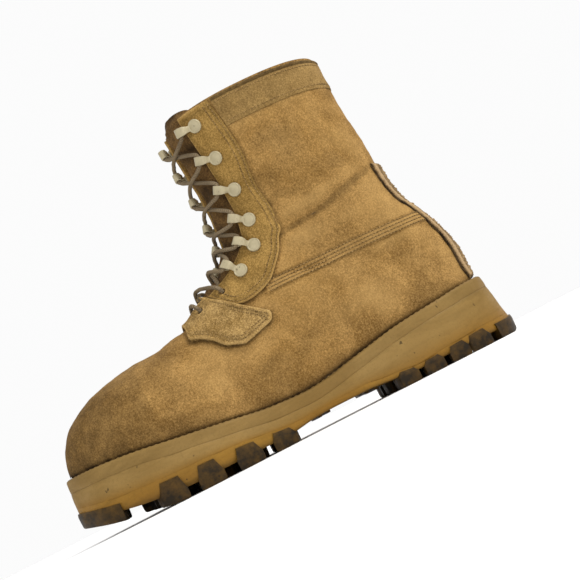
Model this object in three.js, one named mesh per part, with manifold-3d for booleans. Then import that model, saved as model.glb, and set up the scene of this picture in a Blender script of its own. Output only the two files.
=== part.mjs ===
// Right combat boot in coyote suede on a lugged gum rubber sole.
// Millimetres, +Z up, toe to -Y, medial side to +X, standing empty on its tread.
import * as THREE from "three";
import { mergeVertices } from "three/addons/utils/BufferGeometryUtils.js";
import Module from "manifold-3d";

// Main sizes of the last and the boot
const SOLE_LENGTH = 319;
const BALL_WIDTH = 106;
const HEEL_WIDTH = 80;
const BOOT_HEIGHT = 234;
const INSTEP_HEIGHT = 100;
const HEEL_STACK = 43;
const SHAFT_WIDTH = 82;
const UPPER_WALL = 2.2;
const JOINT_GAP = 0.3;

// Sole
const LUG_DEPTH = 6.5;
const TOE_SPRING = 12;
const SHANK_RISE = 3;
const OUTSOLE_THICKNESS = 10;
const WELT_THICKNESS = 8.5;
const WELT_WIDTH = 15;
const WELT_MARGIN = 3.4;
const WELT_BEAD = 0.9;
const SIDE_GROOVE = 1.2;
const SIDE_LEAN = 1.2;
const REAR_FLARE = 7;
const LUG_STEP = 1.0;
const INSOLE_THICKNESS = 4;
const INSOLE_CLEARANCE = 1.1;
const SKIRT = 8;
const PLATE_INSET = 1.2;
const LUG_ROOT = 1.5;
const LUG_CLIMB = 0.7;

// Lacing, tongue and overlays
const THROAT_WIDTH = 33;
const THROAT_FOOT_WIDTH = 10;
const TONGUE_THICKNESS = 2.6;
const TONGUE_WIDTH = 54;
const TONGUE_CLEARANCE = 0.5;
const TONGUE_RISE = 8;
const TONGUE_FOOT = 0.62;
const TONGUE_ROUND = 0.28;
const TONGUE_FOOT_ROWS = 1.2;
const TONGUE_FLARE_ROWS = 3;
const EYESTAY_THICKNESS = 1.6;
const TAB_THICKNESS = 3.6;
const BAND_THICKNESS = 1.2;
const BACKSTAY_THICKNESS = 2.6;
const BACKSTAY_WIDTH = 40;
const SEAM_STEP = 0.7;
const THROAT_LEAN = 5;
const THROAT_OPENING_ROWS = 7;
const RIBBON_OUT = 14;
const RIBBON_IN = 24;
const HOOK_SETBACK = 9.5;
const HOLE_SETBACK = 7;
const HOLE_DIAMETER = 4.6;
const LACE_DIAMETER = 3;
const HOOK_CAP_DIAMETER = 9.6;
const HOOK_CAP_HEIGHT = 1.6;
const HOOK_WIDTH = 5.6;
const HOOK_PLATE = 1;
const HOOK_REACH = 14.4;
const LACE_CLEARANCE = 0.35;
const HOOK_SEAT_GAP = 0.5;
const LACE_BOW = 1.5;
const LACE_RUN_OUT = 2.4;
const LACE_REST = 1.9;
const HOOK_FLAT = 3.5;
const HOOK_SHOULDER = 7.5;
const HOOK_TIP = 8.5;

// Outline of the sole, from the heel lip (0) to the toe tip (1).
// centre, ball: shares of BALL_WIDTH; heel: share of HEEL_WIDTH.
const OUTLINE = [
  { along: 0.0, centre: 0.0, heel: 0.0, ball: 0.0 },
  { along: 0.02, centre: 0.0, heel: 0.27, ball: 0.0 },
  { along: 0.05, centre: 0.0, heel: 0.39, ball: 0.0 },
  { along: 0.09, centre: 0.0, heel: 0.465, ball: 0.0 },
  { along: 0.14, centre: 0.0, heel: 0.5, ball: 0.0 },
  { along: 0.2, centre: 0.0, heel: 0.505, ball: 0.0 },
  { along: 0.28, centre: -0.008, heel: 0.375, ball: 0.09 },
  { along: 0.37, centre: -0.026, heel: 0.235, ball: 0.17 },
  { along: 0.46, centre: -0.044, heel: 0.12, ball: 0.262 },
  { along: 0.56, centre: -0.044, heel: 0.0, ball: 0.4 },
  { along: 0.66, centre: -0.026, heel: 0.0, ball: 0.474 },
  { along: 0.73, centre: -0.008, heel: 0.0, ball: 0.5 },
  { along: 0.805, centre: 0.008, heel: 0.0, ball: 0.477 },
  { along: 0.88, centre: 0.022, heel: 0.0, ball: 0.41 },
  { along: 0.94, centre: 0.036, heel: 0.0, ball: 0.305 },
  { along: 0.98, centre: 0.045, heel: 0.0, ball: 0.165 },
  { along: 1.0, centre: 0.05, heel: 0.0, ball: 0.0 },
];

// Heights along the sole. seat: top of the welt, share of HEEL_STACK; base: share of OUTSOLE_THICKNESS;
// spring: share of TOE_SPRING; shank: share of SHANK_RISE.
const SOLE_LINES = [
  { along: 0.0, seat: 1.06, base: 0.75, spring: 0.12, shank: 0 },
  { along: 0.03, seat: 1.05, base: 0.72, spring: 0.0, shank: 0 },
  { along: 0.1, seat: 1.02, base: 0.68, spring: 0.0, shank: 0 },
  { along: 0.15, seat: 0.98, base: 0.6, spring: 0.0, shank: 0 },
  { along: 0.26, seat: 0.9, base: 0.36, spring: 0.0, shank: 0 },
  { along: 0.33, seat: 0.81, base: 0.36, spring: 0.0, shank: 0.7 },
  { along: 0.37, seat: 0.755, base: 0.4, spring: 0.0, shank: 1 },
  { along: 0.44, seat: 0.66, base: 0.4, spring: 0.0, shank: 1 },
  { along: 0.49, seat: 0.625, base: 0.38, spring: 0.0, shank: 0.8 },
  { along: 0.56, seat: 0.645, base: 0.6, spring: 0.0, shank: 0 },
  { along: 0.66, seat: 0.74, base: 0.95, spring: 0.0, shank: 0 },
  { along: 0.76, seat: 0.84, base: 1.1, spring: 0.0, shank: 0 },
  { along: 0.86, seat: 0.95, base: 1.0, spring: 0.19, shank: 0 },
  { along: 0.93, seat: 1.0, base: 0.85, spring: 0.52, shank: 0 },
  { along: 1.0, seat: 1.03, base: 0.7, spring: 1, shank: 0 },
];

// Upright sections of the foot, from the toe (along 1) to the foot of the throat.
// along: share of the upper's length from the heel; top: share of INSTEP_HEIGHT; full: widest half width
// against the welt line; wide: height of the widest place; crown and tuck: roundness above and below it;
// lean: ridge towards the medial side, share of BALL_WIDTH.
const FOOT_SECTIONS = [
  { along: 0.9995, top: 0.475, full: 1.0, wide: 0.5, crown: 2.6, tuck: 1.4, lean: 0.0 },
  { along: 0.9965, top: 0.53, full: 1.0, wide: 0.48, crown: 2.6, tuck: 1.4, lean: 0.0 },
  { along: 0.986, top: 0.62, full: 1.0, wide: 0.46, crown: 2.6, tuck: 1.4, lean: 0.0 },
  { along: 0.963, top: 0.72, full: 1.01, wide: 0.44, crown: 2.5, tuck: 1.4, lean: 0.0 },
  { along: 0.934, top: 0.79, full: 1.015, wide: 0.42, crown: 2.45, tuck: 1.4, lean: 0.002 },
  { along: 0.899, top: 0.85, full: 1.015, wide: 0.4, crown: 2.35, tuck: 1.4, lean: 0.006 },
  { along: 0.851, top: 0.9, full: 1.015, wide: 0.37, crown: 2.2, tuck: 1.4, lean: 0.012 },
  { along: 0.807, top: 0.925, full: 1.01, wide: 0.34, crown: 2.05, tuck: 1.4, lean: 0.02 },
  { along: 0.759, top: 0.94, full: 1.01, wide: 0.31, crown: 1.92, tuck: 1.4, lean: 0.028 },
  { along: 0.714, top: 0.96, full: 1.01, wide: 0.29, crown: 1.82, tuck: 1.4, lean: 0.03 },
  { along: 0.676, top: 0.985, full: 1.02, wide: 0.28, crown: 1.76, tuck: 1.4, lean: 0.03 },
  { along: 0.641, top: 1.01, full: 1.04, wide: 0.28, crown: 1.74, tuck: 1.4, lean: 0.026 },
];

// Sections that fan from the instep round the heel and up the shaft.
// front, back: ends of the section along the upper's length; rise: front height between INSTEP_HEIGHT and
// BOOT_HEIGHT; lift: back height between HEEL_STACK and BOOT_HEIGHT, or on the seat where none is given;
// full: half width, share of SHAFT_WIDTH.
const LEG_SECTIONS = [
  {
    front: 0.596, rise: 0.08, back: 0.503,
    full: 0.485, wide: 0.29, crown: 1.76, tuck: 1.45, lean: 0.022,
  },
  {
    front: 0.561, rise: 0.13, back: 0.401,
    full: 0.462, wide: 0.3, crown: 1.8, tuck: 1.5, lean: 0.016,
  },
  {
    front: 0.529, rise: 0.178, back: 0.299,
    full: 0.448, wide: 0.31, crown: 1.85, tuck: 1.6, lean: 0.008,
  },
  {
    front: 0.511, rise: 0.222, back: 0.197,
    full: 0.44, wide: 0.33, crown: 1.9, tuck: 1.7, lean: 0,
  },
  {
    front: 0.495, rise: 0.272, back: 0.107,
    full: 0.435, wide: 0.36, crown: 1.95, tuck: 1.85, lean: -0.01,
  },
  {
    front: 0.489, rise: 0.309, back: 0.046,
    full: 0.43, wide: 0.38, crown: 2.0, tuck: 2.0, lean: -0.017,
  },
  {
    front: 0.484, rise: 0.338, back: 0.016,
    full: 0.426, wide: 0.4, crown: 2.0, tuck: 2.1, lean: -0.022,
  },
  {
    front: 0.481, rise: 0.367, back: 0.0022,
    full: 0.422, wide: 0.42, crown: 2.05, tuck: 2.2, lean: -0.027,
  },
  {
    front: 0.478, rise: 0.4, back: 0.0, lift: 0.045,
    full: 0.419, wide: 0.44, crown: 2.1, tuck: 2.25, lean: -0.031,
  },
  {
    front: 0.476, rise: 0.447, back: 0.0, lift: 0.122,
    full: 0.416, wide: 0.45, crown: 2.1, tuck: 2.25, lean: -0.035,
  },
  {
    front: 0.473, rise: 0.505, back: 0.013, lift: 0.219,
    full: 0.412, wide: 0.46, crown: 2.15, tuck: 2.2, lean: -0.039,
  },
  {
    front: 0.473, rise: 0.571, back: 0.0335, lift: 0.3,
    full: 0.41, wide: 0.47, crown: 2.2, tuck: 2.15, lean: -0.042,
  },
  {
    front: 0.473, rise: 0.636, back: 0.059, lift: 0.377,
    full: 0.414, wide: 0.48, crown: 2.2, tuck: 2.1, lean: -0.045,
  },
  {
    front: 0.476, rise: 0.709, back: 0.0735, lift: 0.48,
    full: 0.424, wide: 0.48, crown: 2.2, tuck: 2.1, lean: -0.047,
  },
  {
    front: 0.479, rise: 0.789, back: 0.078, lift: 0.617,
    full: 0.442, wide: 0.48, crown: 2.2, tuck: 2.1, lean: -0.048,
  },
  {
    front: 0.482, rise: 0.876, back: 0.086, lift: 0.786,
    full: 0.468, wide: 0.48, crown: 2.25, tuck: 2.15, lean: -0.05,
  },
  {
    front: 0.486, rise: 0.985, back: 0.096, lift: 1.0,
    full: 0.49, wide: 0.48, crown: 2.3, tuck: 2.2, lean: -0.05,
  },
];

// Cut lines of the overlays, seen from the side. along: share of the upper's length;
// instep: share of INSTEP_HEIGHT; shaft: share of the height from there to BOOT_HEIGHT.
const EYESTAY_CUT = [
  { along: 0.382, instep: 1, shaft: 0.985 },
  { along: 0.372, instep: 1, shaft: 0.86 },
  { along: 0.362, instep: 1, shaft: 0.675 },
  { along: 0.366, instep: 1, shaft: 0.505 },
  { along: 0.358, instep: 1, shaft: 0.345 },
  { along: 0.36, instep: 1, shaft: 0.24 },
  { along: 0.37, instep: 1, shaft: 0.21 },
  { along: 0.385, instep: 1, shaft: 0.142 },
  { along: 0.41, instep: 1, shaft: 0.076 },
  { along: 0.436, instep: 1, shaft: 0.018 },
  { along: 0.468, instep: 0.985, shaft: 0 },
  { along: 0.5, instep: 0.968, shaft: 0 },
  { along: 0.519, instep: 0.975, shaft: 0 },
  { along: 0.565, instep: 1, shaft: 0.084 },
  { along: 0.62, instep: 1, shaft: 0.26 },
  { along: 0.62, instep: 1, shaft: 0.985 },
];
const TAB_CUT = [
  { along: 0.635, instep: 1.3, shaft: 0 },
  { along: 0.643, instep: 0.95, shaft: 0 },
  { along: 0.65, instep: 0.89, shaft: 0 },
  { along: 0.626, instep: 0.862, shaft: 0 },
  { along: 0.604, instep: 0.81, shaft: 0 },
  { along: 0.588, instep: 0.75, shaft: 0 },
  { along: 0.547, instep: 0.71, shaft: 0 },
  { along: 0.474, instep: 0.775, shaft: 0 },
  { along: 0.466, instep: 0.83, shaft: 0 },
  { along: 0.519, instep: 0.96, shaft: 0 },
  { along: 0.567, instep: 1, shaft: 0.07 },
  { along: 0.6, instep: 1, shaft: 0.16 },
];
const BAND_CUT = [
  { along: 0.366, instep: 1, shaft: 0.82 },
  { along: 0.376, instep: 1, shaft: 0.975 },
  { along: 0.03, instep: 1, shaft: 0.975 },
  { along: 0.03, instep: 1, shaft: 0.82 },
];
const BACKSTAY_CUT = [
  { along: -0.06, instep: 0.49, shaft: 0 },
  { along: -0.06, instep: 1, shaft: 0.36 },
  { along: 0.2, instep: 1, shaft: 0.36 },
  { along: 0.2, instep: 0.49, shaft: 0 },
];
const SEAM_CUT = [
  { along: 0.455, instep: 0.885, shaft: 0 },
  { along: 0.386, instep: 0.94, shaft: 0 },
  { along: 0.32, instep: 0.98, shaft: 0 },
  { along: 0.232, instep: 1.025, shaft: 0 },
  { along: 0.15, instep: 1.06, shaft: 0 },
  { along: 0.1, instep: 1.06, shaft: 0 },
  { along: -0.05, instep: 1.03, shaft: 0 },
  { along: -0.05, instep: 0.95, shaft: 0 },
  { along: 0.1, instep: 0.97, shaft: 0 },
  { along: 0.15, instep: 0.97, shaft: 0 },
  { along: 0.207, instep: 0.955, shaft: 0 },
  { along: 0.254, instep: 0.93, shaft: 0 },
  { along: 0.321, instep: 0.88, shaft: 0 },
  { along: 0.395, instep: 0.83, shaft: 0 },
  { along: 0.455, instep: 0.785, shaft: 0 },
];

// Lace stations from the foot of the throat to the collar, shares of the facing's length.
const LACE_STATIONS = [0.09, 0.2, 0.305, 0.415, 0.52, 0.65, 0.79, 0.935];
const HOLE_COUNT = 2;

// Lugs. along: place on the sole; across: share of the half width on its own side, medial positive;
// length, width: millimetres along and across; turn: degrees.
const EDGE_LUGS = [
  { along: 0.105, across: -1, length: 15, width: 17, turn: 24 },
  { along: 0.165, across: -1, length: 14, width: 16, turn: 6 },
  { along: 0.225, across: -1, length: 14, width: 16, turn: 0 },
  { along: 0.288, across: -1, length: 14, width: 17, turn: -8 },
  { along: 0.105, across: 1, length: 15, width: 17, turn: -24 },
  { along: 0.165, across: 1, length: 14, width: 16, turn: -6 },
  { along: 0.228, across: 1, length: 14, width: 16, turn: 0 },
  { along: 0.29, across: 1, length: 13, width: 17, turn: 8 },
  { along: 0.548, across: -1, length: 13, width: 19, turn: 12 },
  { along: 0.62, across: -1, length: 15, width: 19, turn: 6 },
  { along: 0.7, across: -1, length: 16, width: 19, turn: 0 },
  { along: 0.78, across: -1, length: 16, width: 19, turn: -10 },
  { along: 0.858, across: -1, length: 15, width: 17, turn: -26 },
  { along: 0.56, across: 1, length: 15, width: 19, turn: -16 },
  { along: 0.645, across: 1, length: 17, width: 20, turn: -6 },
  { along: 0.735, across: 1, length: 17, width: 20, turn: 4 },
  { along: 0.82, across: 1, length: 16, width: 19, turn: 16 },
];
const CENTRE_LUGS = [
  { along: 0.15, across: 0, length: 17, width: 22, turn: 0 },
  { along: 0.225, across: 0, length: 15, width: 20, turn: 180 },
  { along: 0.295, across: 0, length: 12, width: 22, turn: 0 },
  { along: 0.565, across: 0, length: 14, width: 24, turn: 180 },
  { along: 0.625, across: 0.22, length: 13, width: 18, turn: 20 },
  { along: 0.665, across: -0.24, length: 15, width: 19, turn: 200 },
  { along: 0.7, across: 0.24, length: 15, width: 19, turn: 0 },
  { along: 0.75, across: -0.22, length: 15, width: 20, turn: 180 },
  { along: 0.79, across: 0.24, length: 14, width: 18, turn: -10 },
  { along: 0.84, across: -0.18, length: 14, width: 20, turn: 200 },
];
const END_PLATES = [
  { from: 0.905, to: 1.01, width: 24 },
  { from: -0.01, to: 0.075, width: 13 },
];
// Outlines of the lugs. across, along: shares of half the width and half the length.
const LUG_SHAPES = {
  edge: [
    { across: -1, along: -0.72 },
    { across: -0.35, along: -0.78 },
    { across: 0, along: -1 },
    { across: 1.6, along: -1 },
    { across: 1.6, along: 1 },
    { across: 0, along: 1 },
    { across: -0.35, along: 0.78 },
    { across: -1, along: 0.72 },
    { across: -0.72, along: 0 },
  ],
  centre: [
    { across: -1, along: -0.55 },
    { across: -0.45, along: -1 },
    { across: 0.45, along: -1 },
    { across: 1, along: -0.55 },
    { across: 0.72, along: 0 },
    { across: 1, along: 0.6 },
    { across: 0.4, along: 1 },
    { across: 0, along: 0.45 },
    { across: -0.4, along: 1 },
    { across: -1, along: 0.6 },
    { across: -0.72, along: 0 },
  ],
  bar: [
    { across: -1, along: -1 },
    { across: 1, along: -1 },
    { across: 1, along: 1 },
    { across: -1, along: 1 },
  ],
};
const SHANK_BARS = [0.345, 0.365, 0.455, 0.475];
const SHANK_BAR_LENGTH = 3;
const SHANK_BAR_WIDTH = 40;

// Rings up the sides of the midsole and the welt. inset: share of SIDE_GROOVE or of WELT_BEAD;
// lean: share of the lean at the welt's top; height: share of the layer's height.
const MIDSOLE_RINGS = [
  { inset: 0, lean: 0.18, height: 0 },
  { inset: -0.25, lean: 0.55, height: 0.6 },
  { inset: 0.5, lean: 0.78, height: 0.92 },
  { inset: 1.4, lean: 0.82, height: 1 },
];
const WELT_RINGS = [
  { inset: 1.3, lean: 0.82, height: 0 },
  { inset: -0.6, lean: 0.84, height: 0.18 },
  { inset: -0.6, lean: 0.94, height: 0.75 },
  { inset: 1, lean: 1, height: 1 },
];

// Counts of rings and of points round them
const OUTLINE_STEPS = 20;
const CROWN_STEPS = 5;
const TUCK_STEPS = 3;
const LACE_SIDES = 6;
const CAP_SIDES = 8;
const HOLE_SIDES = 10;
const HOOK_BEND_STEPS = 4;
const THROAT_STEPS = 16;
const TONGUE_STEPS = 9;
const SEARCH_STEPS = 30;
const SKIN_STRIDE = 0.004;
const SKIN_STEP = 0.03;

const MATERIALS = {
  suede: new THREE.MeshStandardMaterial({ color: 0xa57d46, roughness: 0.95, metalness: 0 }),
  facing: new THREE.MeshStandardMaterial({ color: 0xb08a45, roughness: 0.93, metalness: 0 }),
  lining: new THREE.MeshStandardMaterial({ color: 0x6f5a3c, roughness: 0.95, metalness: 0 }),
  tan: new THREE.MeshStandardMaterial({ color: 0xb69a5e, roughness: 0.7, metalness: 0 }),
  gum: new THREE.MeshStandardMaterial({ color: 0x9a7030, roughness: 0.6, metalness: 0 }),
  enamel: new THREE.MeshStandardMaterial({ color: 0xbdb28e, roughness: 0.45, metalness: 0.3 }),
  cord: new THREE.MeshStandardMaterial({ color: 0x8f8064, roughness: 0.9, metalness: 0 }),
};

const wasm = await Module();
wasm.setup();

const lerp = (from, to, share) => from + (to - from) * share;

// Smooth curve through the rows of a table that never overshoots them.
function smooth(xs, ys) {
  const last = xs.length - 1;
  const slopes = xs.slice(1).map((x, i) => (ys[i + 1] - ys[i]) / (x - xs[i]));
  const tangent = (i) => {
    if (i === 0) return slopes[0];
    if (i === last) return slopes[last - 1];
    if (slopes[i - 1] * slopes[i] <= 0) return 0;
    return (2 * slopes[i - 1] * slopes[i]) / (slopes[i - 1] + slopes[i]);
  };
  return (x) => {
    const held = Math.min(Math.max(x, xs[0]), xs[last]);
    let i = 0;
    while (i < last - 1 && held > xs[i + 1]) i += 1;
    const step = xs[i + 1] - xs[i];
    const u = (held - xs[i]) / step;
    const rise = ys[i + 1] - ys[i];
    const bend = tangent(i) * step;
    const leave = tangent(i + 1) * step;
    return ys[i] + u * (bend + u * (3 * rise - 2 * bend - leave + u * (bend + leave - 2 * rise)));
  };
}

// Angle that spreads places evenly round both rounded ends of the sole.
const turnOf = (along) => Math.acos(1 - 2 * Math.min(Math.max(along, 0), 1));
const outlineTurns = OUTLINE.map((row) => turnOf(row.along));
const outlineCentre = smooth(outlineTurns, OUTLINE.map((row) => row.centre * BALL_WIDTH));
const outlineHalf = smooth(
  outlineTurns,
  OUTLINE.map((row) => row.heel * HEEL_WIDTH + row.ball * BALL_WIDTH),
);

const lineTable = (key) => smooth(SOLE_LINES.map((row) => row.along), SOLE_LINES.map((row) => row[key]));
const seatLine = lineTable("seat");
const baseLine = lineTable("base");
const springLine = lineTable("spring");
const shankLine = lineTable("shank");

const alongOf = (y) => 0.5 - y / SOLE_LENGTH;
const yOf = (along) => SOLE_LENGTH * (0.5 - along);
const groundAt = (y) => TOE_SPRING * springLine(alongOf(y));
const treadAt = (y) => groundAt(y) + LUG_DEPTH + SHANK_RISE * shankLine(alongOf(y));
const gumTopAt = (y) => treadAt(y) + OUTSOLE_THICKNESS * baseLine(alongOf(y));
const seatAt = (y) => HEEL_STACK * seatLine(alongOf(y));
const weltFootAt = (y) => seatAt(y) - WELT_THICKNESS;

// Outline of the sole, counter-clockwise from the heel lip by the lateral side to the toe and back.
function outlinePoints() {
  const points = [];
  for (let k = 0; k < 2 * OUTLINE_STEPS; k += 1) {
    const turn = Math.PI * (k <= OUTLINE_STEPS ? k / OUTLINE_STEPS : 2 - k / OUTLINE_STEPS);
    const side = k <= OUTLINE_STEPS ? -1 : 1;
    const along = (1 - Math.cos(turn)) / 2;
    points.push(new THREE.Vector2(outlineCentre(turn) + side * outlineHalf(turn), yOf(along)));
  }
  return points;
}
const SOLE_OUTLINE = outlinePoints();
const SOLE_NORMALS = SOLE_OUTLINE.map((point, i) => {
  const before = SOLE_OUTLINE.at(i - 1);
  const after = SOLE_OUTLINE[(i + 1) % SOLE_OUTLINE.length];
  return new THREE.Vector2(after.y - before.y, before.x - after.x).normalize();
});

// Ring of the outline moved inwards, leaning in towards the back by the rear flare,
// at heights from a function.
function soleRing(inset, lean, heightAt) {
  return SOLE_OUTLINE.map((point, i) => {
    const normal = SOLE_NORMALS[i];
    const rear = Math.max(0, normal.y) ** 2;
    const move = inset + lean * lerp(SIDE_LEAN, REAR_FLARE, rear);
    const x = point.x - normal.x * move;
    const y = point.y - normal.y * move;
    return new THREE.Vector3(x, y, heightAt(y));
  });
}

// Closed body from rings that all have as many points, capped across from side to side.
function loft(rings) {
  const count = rings[0].length;
  const index = [];
  for (let r = 0; r + 1 < rings.length; r += 1) {
    for (let i = 0; i < count; i += 1) {
      const next = (i + 1) % count;
      const low = r * count;
      const high = low + count;
      index.push(low + i, low + next, high + next, low + i, high + next, high + i);
    }
  }
  const cap = (first, flip) => {
    const face = (a, b, c) => index.push(first + a, first + (flip ? c : b), first + (flip ? b : c));
    face(0, 1, count - 1);
    for (let k = 1; k + 1 <= count - k - 1; k += 1) {
      face(k, k + 1, count - k);
      if (k + 1 < count - k - 1) face(k + 1, count - k - 1, count - k);
    }
  };
  cap(0, true);
  cap((rings.length - 1) * count, false);
  const geometry = new THREE.BufferGeometry();
  geometry.setFromPoints(rings.flat());
  geometry.setIndex(index);
  return solidOf(geometry);
}

// Solid of a closed three.js geometry.
function solidOf(geometry) {
  const bare = geometry.clone();
  bare.deleteAttribute("normal");
  bare.deleteAttribute("uv");
  const merged = mergeVertices(bare, 1e-4);
  const mesh = new wasm.Mesh({
    numProp: 3,
    vertProperties: new Float32Array(merged.attributes.position.array),
    triVerts: new Uint32Array(merged.index.array),
  });
  return new wasm.Manifold(mesh);
}

const joined = (solids) => solids.reduce((sum, solid) => sum.add(solid));

// Named mesh of a solid.
function meshOf(name, solid, material) {
  const data = solid.getMesh();
  const geometry = new THREE.BufferGeometry();
  geometry.setAttribute("position", new THREE.BufferAttribute(new Float32Array(data.vertProperties), 3));
  geometry.setIndex(new THREE.BufferAttribute(new Uint32Array(data.triVerts), 1));
  geometry.computeVertexNormals();
  const mesh = new THREE.Mesh(geometry, material);
  mesh.name = name;
  return mesh;
}

// Prism of a side view outline, from one width to another.
function sidePrism(points, fromX, toX) {
  const geometry = new THREE.ExtrudeGeometry(new THREE.Shape(points), {
    depth: toX - fromX,
    bevelEnabled: false,
  });
  const across = new THREE.Matrix4().makeBasis(
    new THREE.Vector3(0, 1, 0),
    new THREE.Vector3(0, 0, 1),
    new THREE.Vector3(1, 0, 0),
  );
  geometry.applyMatrix4(across);
  geometry.translate(fromX, 0, 0);
  return solidOf(geometry);
}

// The welt line that the upper stands on
const WELT_LINE = soleRing(WELT_MARGIN, 1, seatAt);
const HEEL_END = WELT_LINE[0].y;
const TOE_END = WELT_LINE[OUTLINE_STEPS].y;
const upperY = (along) => lerp(HEEL_END, TOE_END, along);

// Where the welt line crosses a place along the boot, on one side.
function weltX(y, side) {
  const points = side < 0 ? WELT_LINE.slice(0, OUTLINE_STEPS + 1) : [
    WELT_LINE[0],
    ...WELT_LINE.slice(OUTLINE_STEPS).reverse(),
  ];
  const held = Math.min(Math.max(y, TOE_END), HEEL_END);
  const next = Math.max(1, points.findIndex((point) => point.y <= held + 1e-9));
  const share = (points[next - 1].y - held) / Math.max(points[next - 1].y - points[next].y, 1e-6);
  return lerp(points[next - 1].x, points[next].x, share);
}

// Each section as lengths: front and back points, half widths and roundness.
function sectionRows() {
  const foot = FOOT_SECTIONS.map((row) => {
    const y = upperY(row.along);
    const half = (weltX(y, 1) - weltX(y, -1)) / 2;
    const centre = (weltX(y, 1) + weltX(y, -1)) / 2;
    return {
      frontY: y,
      frontZ: row.top * INSTEP_HEIGHT,
      backY: y,
      backZ: seatAt(y) - SKIRT,
      base: half,
      full: half * row.full,
      wide: row.wide,
      crown: row.crown,
      tuck: row.tuck,
      backX: centre,
      frontX: centre * (row.along > 0.8 ? 1 : 0.5) + row.lean * BALL_WIDTH,
    };
  });
  const leg = LEG_SECTIONS.map((row) => {
    const onSeat = row.lift === undefined;
    const backY = upperY(row.back);
    const half = onSeat ? (weltX(backY, 1) - weltX(backY, -1)) / 2 : 0;
    return {
      frontY: upperY(row.front),
      frontZ: lerp(INSTEP_HEIGHT, BOOT_HEIGHT, row.rise),
      backY,
      backZ: onSeat ? seatAt(backY) - SKIRT : lerp(HEEL_STACK, BOOT_HEIGHT, row.lift),
      base: half,
      full: Math.max(row.full * SHAFT_WIDTH, half * 1.02),
      wide: row.wide,
      crown: row.crown,
      tuck: row.tuck,
      backX: onSeat ? (weltX(backY, 1) + weltX(backY, -1)) / 2 : 0,
      frontX: row.lean * BALL_WIDTH,
    };
  });
  return [...foot, ...leg];
}
const ROWS = sectionRows();
const LAST_ROW = ROWS.length - 1;
const THROAT_ROW = FOOT_SECTIONS.length - 1;
const SECTION = Object.fromEntries(
  Object.keys(ROWS[0]).map((key) => [key, smooth(ROWS.map((_, i) => i), ROWS.map((row) => row[key]))]),
);

// Point of the upper's outer surface. row: place along the sections; side: +1 medial, -1 lateral;
// angle: from -90 degrees at the back or bottom to +90 degrees at the front ridge.
function skinPoint(row, side, angle) {
  const s = Object.fromEntries(Object.entries(SECTION).map(([key, curve]) => [key, curve(row)]));
  const lower = angle < 0;
  const power = 2 / (lower ? s.tuck : s.crown);
  const sine = Math.abs(Math.sin(angle)) ** power;
  const cosine = Math.max(Math.cos(angle), 0) ** power;
  const share = lower ? s.wide * (1 - sine) : s.wide + (1 - s.wide) * sine;
  const half = lower ? s.base + (s.full - s.base) * cosine : s.full * cosine;
  return new THREE.Vector3(
    lerp(s.backX, s.frontX, share) + side * half,
    lerp(s.backY, s.frontY, share),
    lerp(s.backZ, s.frontZ, share),
  );
}

const RING_ANGLES = [
  ...Array.from({ length: CROWN_STEPS }, (_, k) => (Math.PI / 2) * (1 - k / CROWN_STEPS)),
  ...Array.from({ length: TUCK_STEPS + 1 }, (_, k) => -(Math.PI / 2) * (k / TUCK_STEPS)),
];

// Ring of the upper at a row: ridge, medial side, bottom, lateral side.
function skinRing(row) {
  const medial = RING_ANGLES.map((angle) => skinPoint(row, 1, angle));
  const lateral = RING_ANGLES.slice(1).map((angle) => skinPoint(row, -1, angle)).reverse();
  return [...medial, ...lateral];
}

const SKIN = ROWS.map((_, row) => skinRing(row));

const around = (ring, i) => ring[(i + ring.length) % ring.length];

// The upper's surface moved along its own normals.
function movedSkin(offset) {
  return SKIN.map((ring, r) =>
    ring.map((point, i) => {
      const round = around(ring, i + 1).clone().sub(around(ring, i - 1));
      const ahead = SKIN[Math.min(r + 1, SKIN.length - 1)][i].clone();
      const along = ahead.sub(SKIN[Math.max(r - 1, 0)][i]);
      return point.clone().addScaledVector(round.cross(along).normalize(), offset);
    }),
  );
}

// Body inside the moved surface, from one ring to the last and on above the collar.
function skinBody(offset, firstRing, extraRise) {
  const rings = movedSkin(offset).slice(firstRing);
  if (extraRise > 0) {
    rings.push(rings.at(-1).map((point) => point.clone().add(new THREE.Vector3(0, 0, extraRise))));
  }
  return loft(rings);
}

// Skin between two offsets, open at the collar and underneath.
const skinShell = (inner, outer) => skinBody(outer, 0, 0).subtract(skinBody(inner, 2, SKIRT));

// Space under the welt's top and a gap, on the same stations as the welt
function underSeat(gap) {
  const stations = soleRing(WELT_MARGIN, 1, seatAt).slice(0, OUTLINE_STEPS + 1);
  const reach = SOLE_LENGTH;
  const top = stations.map((point) => new THREE.Vector2(point.y, point.z + gap));
  top.unshift(new THREE.Vector2(reach, top[0].y));
  top.push(new THREE.Vector2(-reach, top.at(-1).y));
  const floor = [new THREE.Vector2(-reach, -SKIRT), new THREE.Vector2(reach, -SKIRT)];
  return sidePrism([...top, ...floor], -BALL_WIDTH, BALL_WIDTH);
}

// Share of the way from the foot of the throat to where it has its full width
const throatShare = (row) => Math.min(Math.max((row - THROAT_ROW) / THROAT_OPENING_ROWS, 0), 1);

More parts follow.
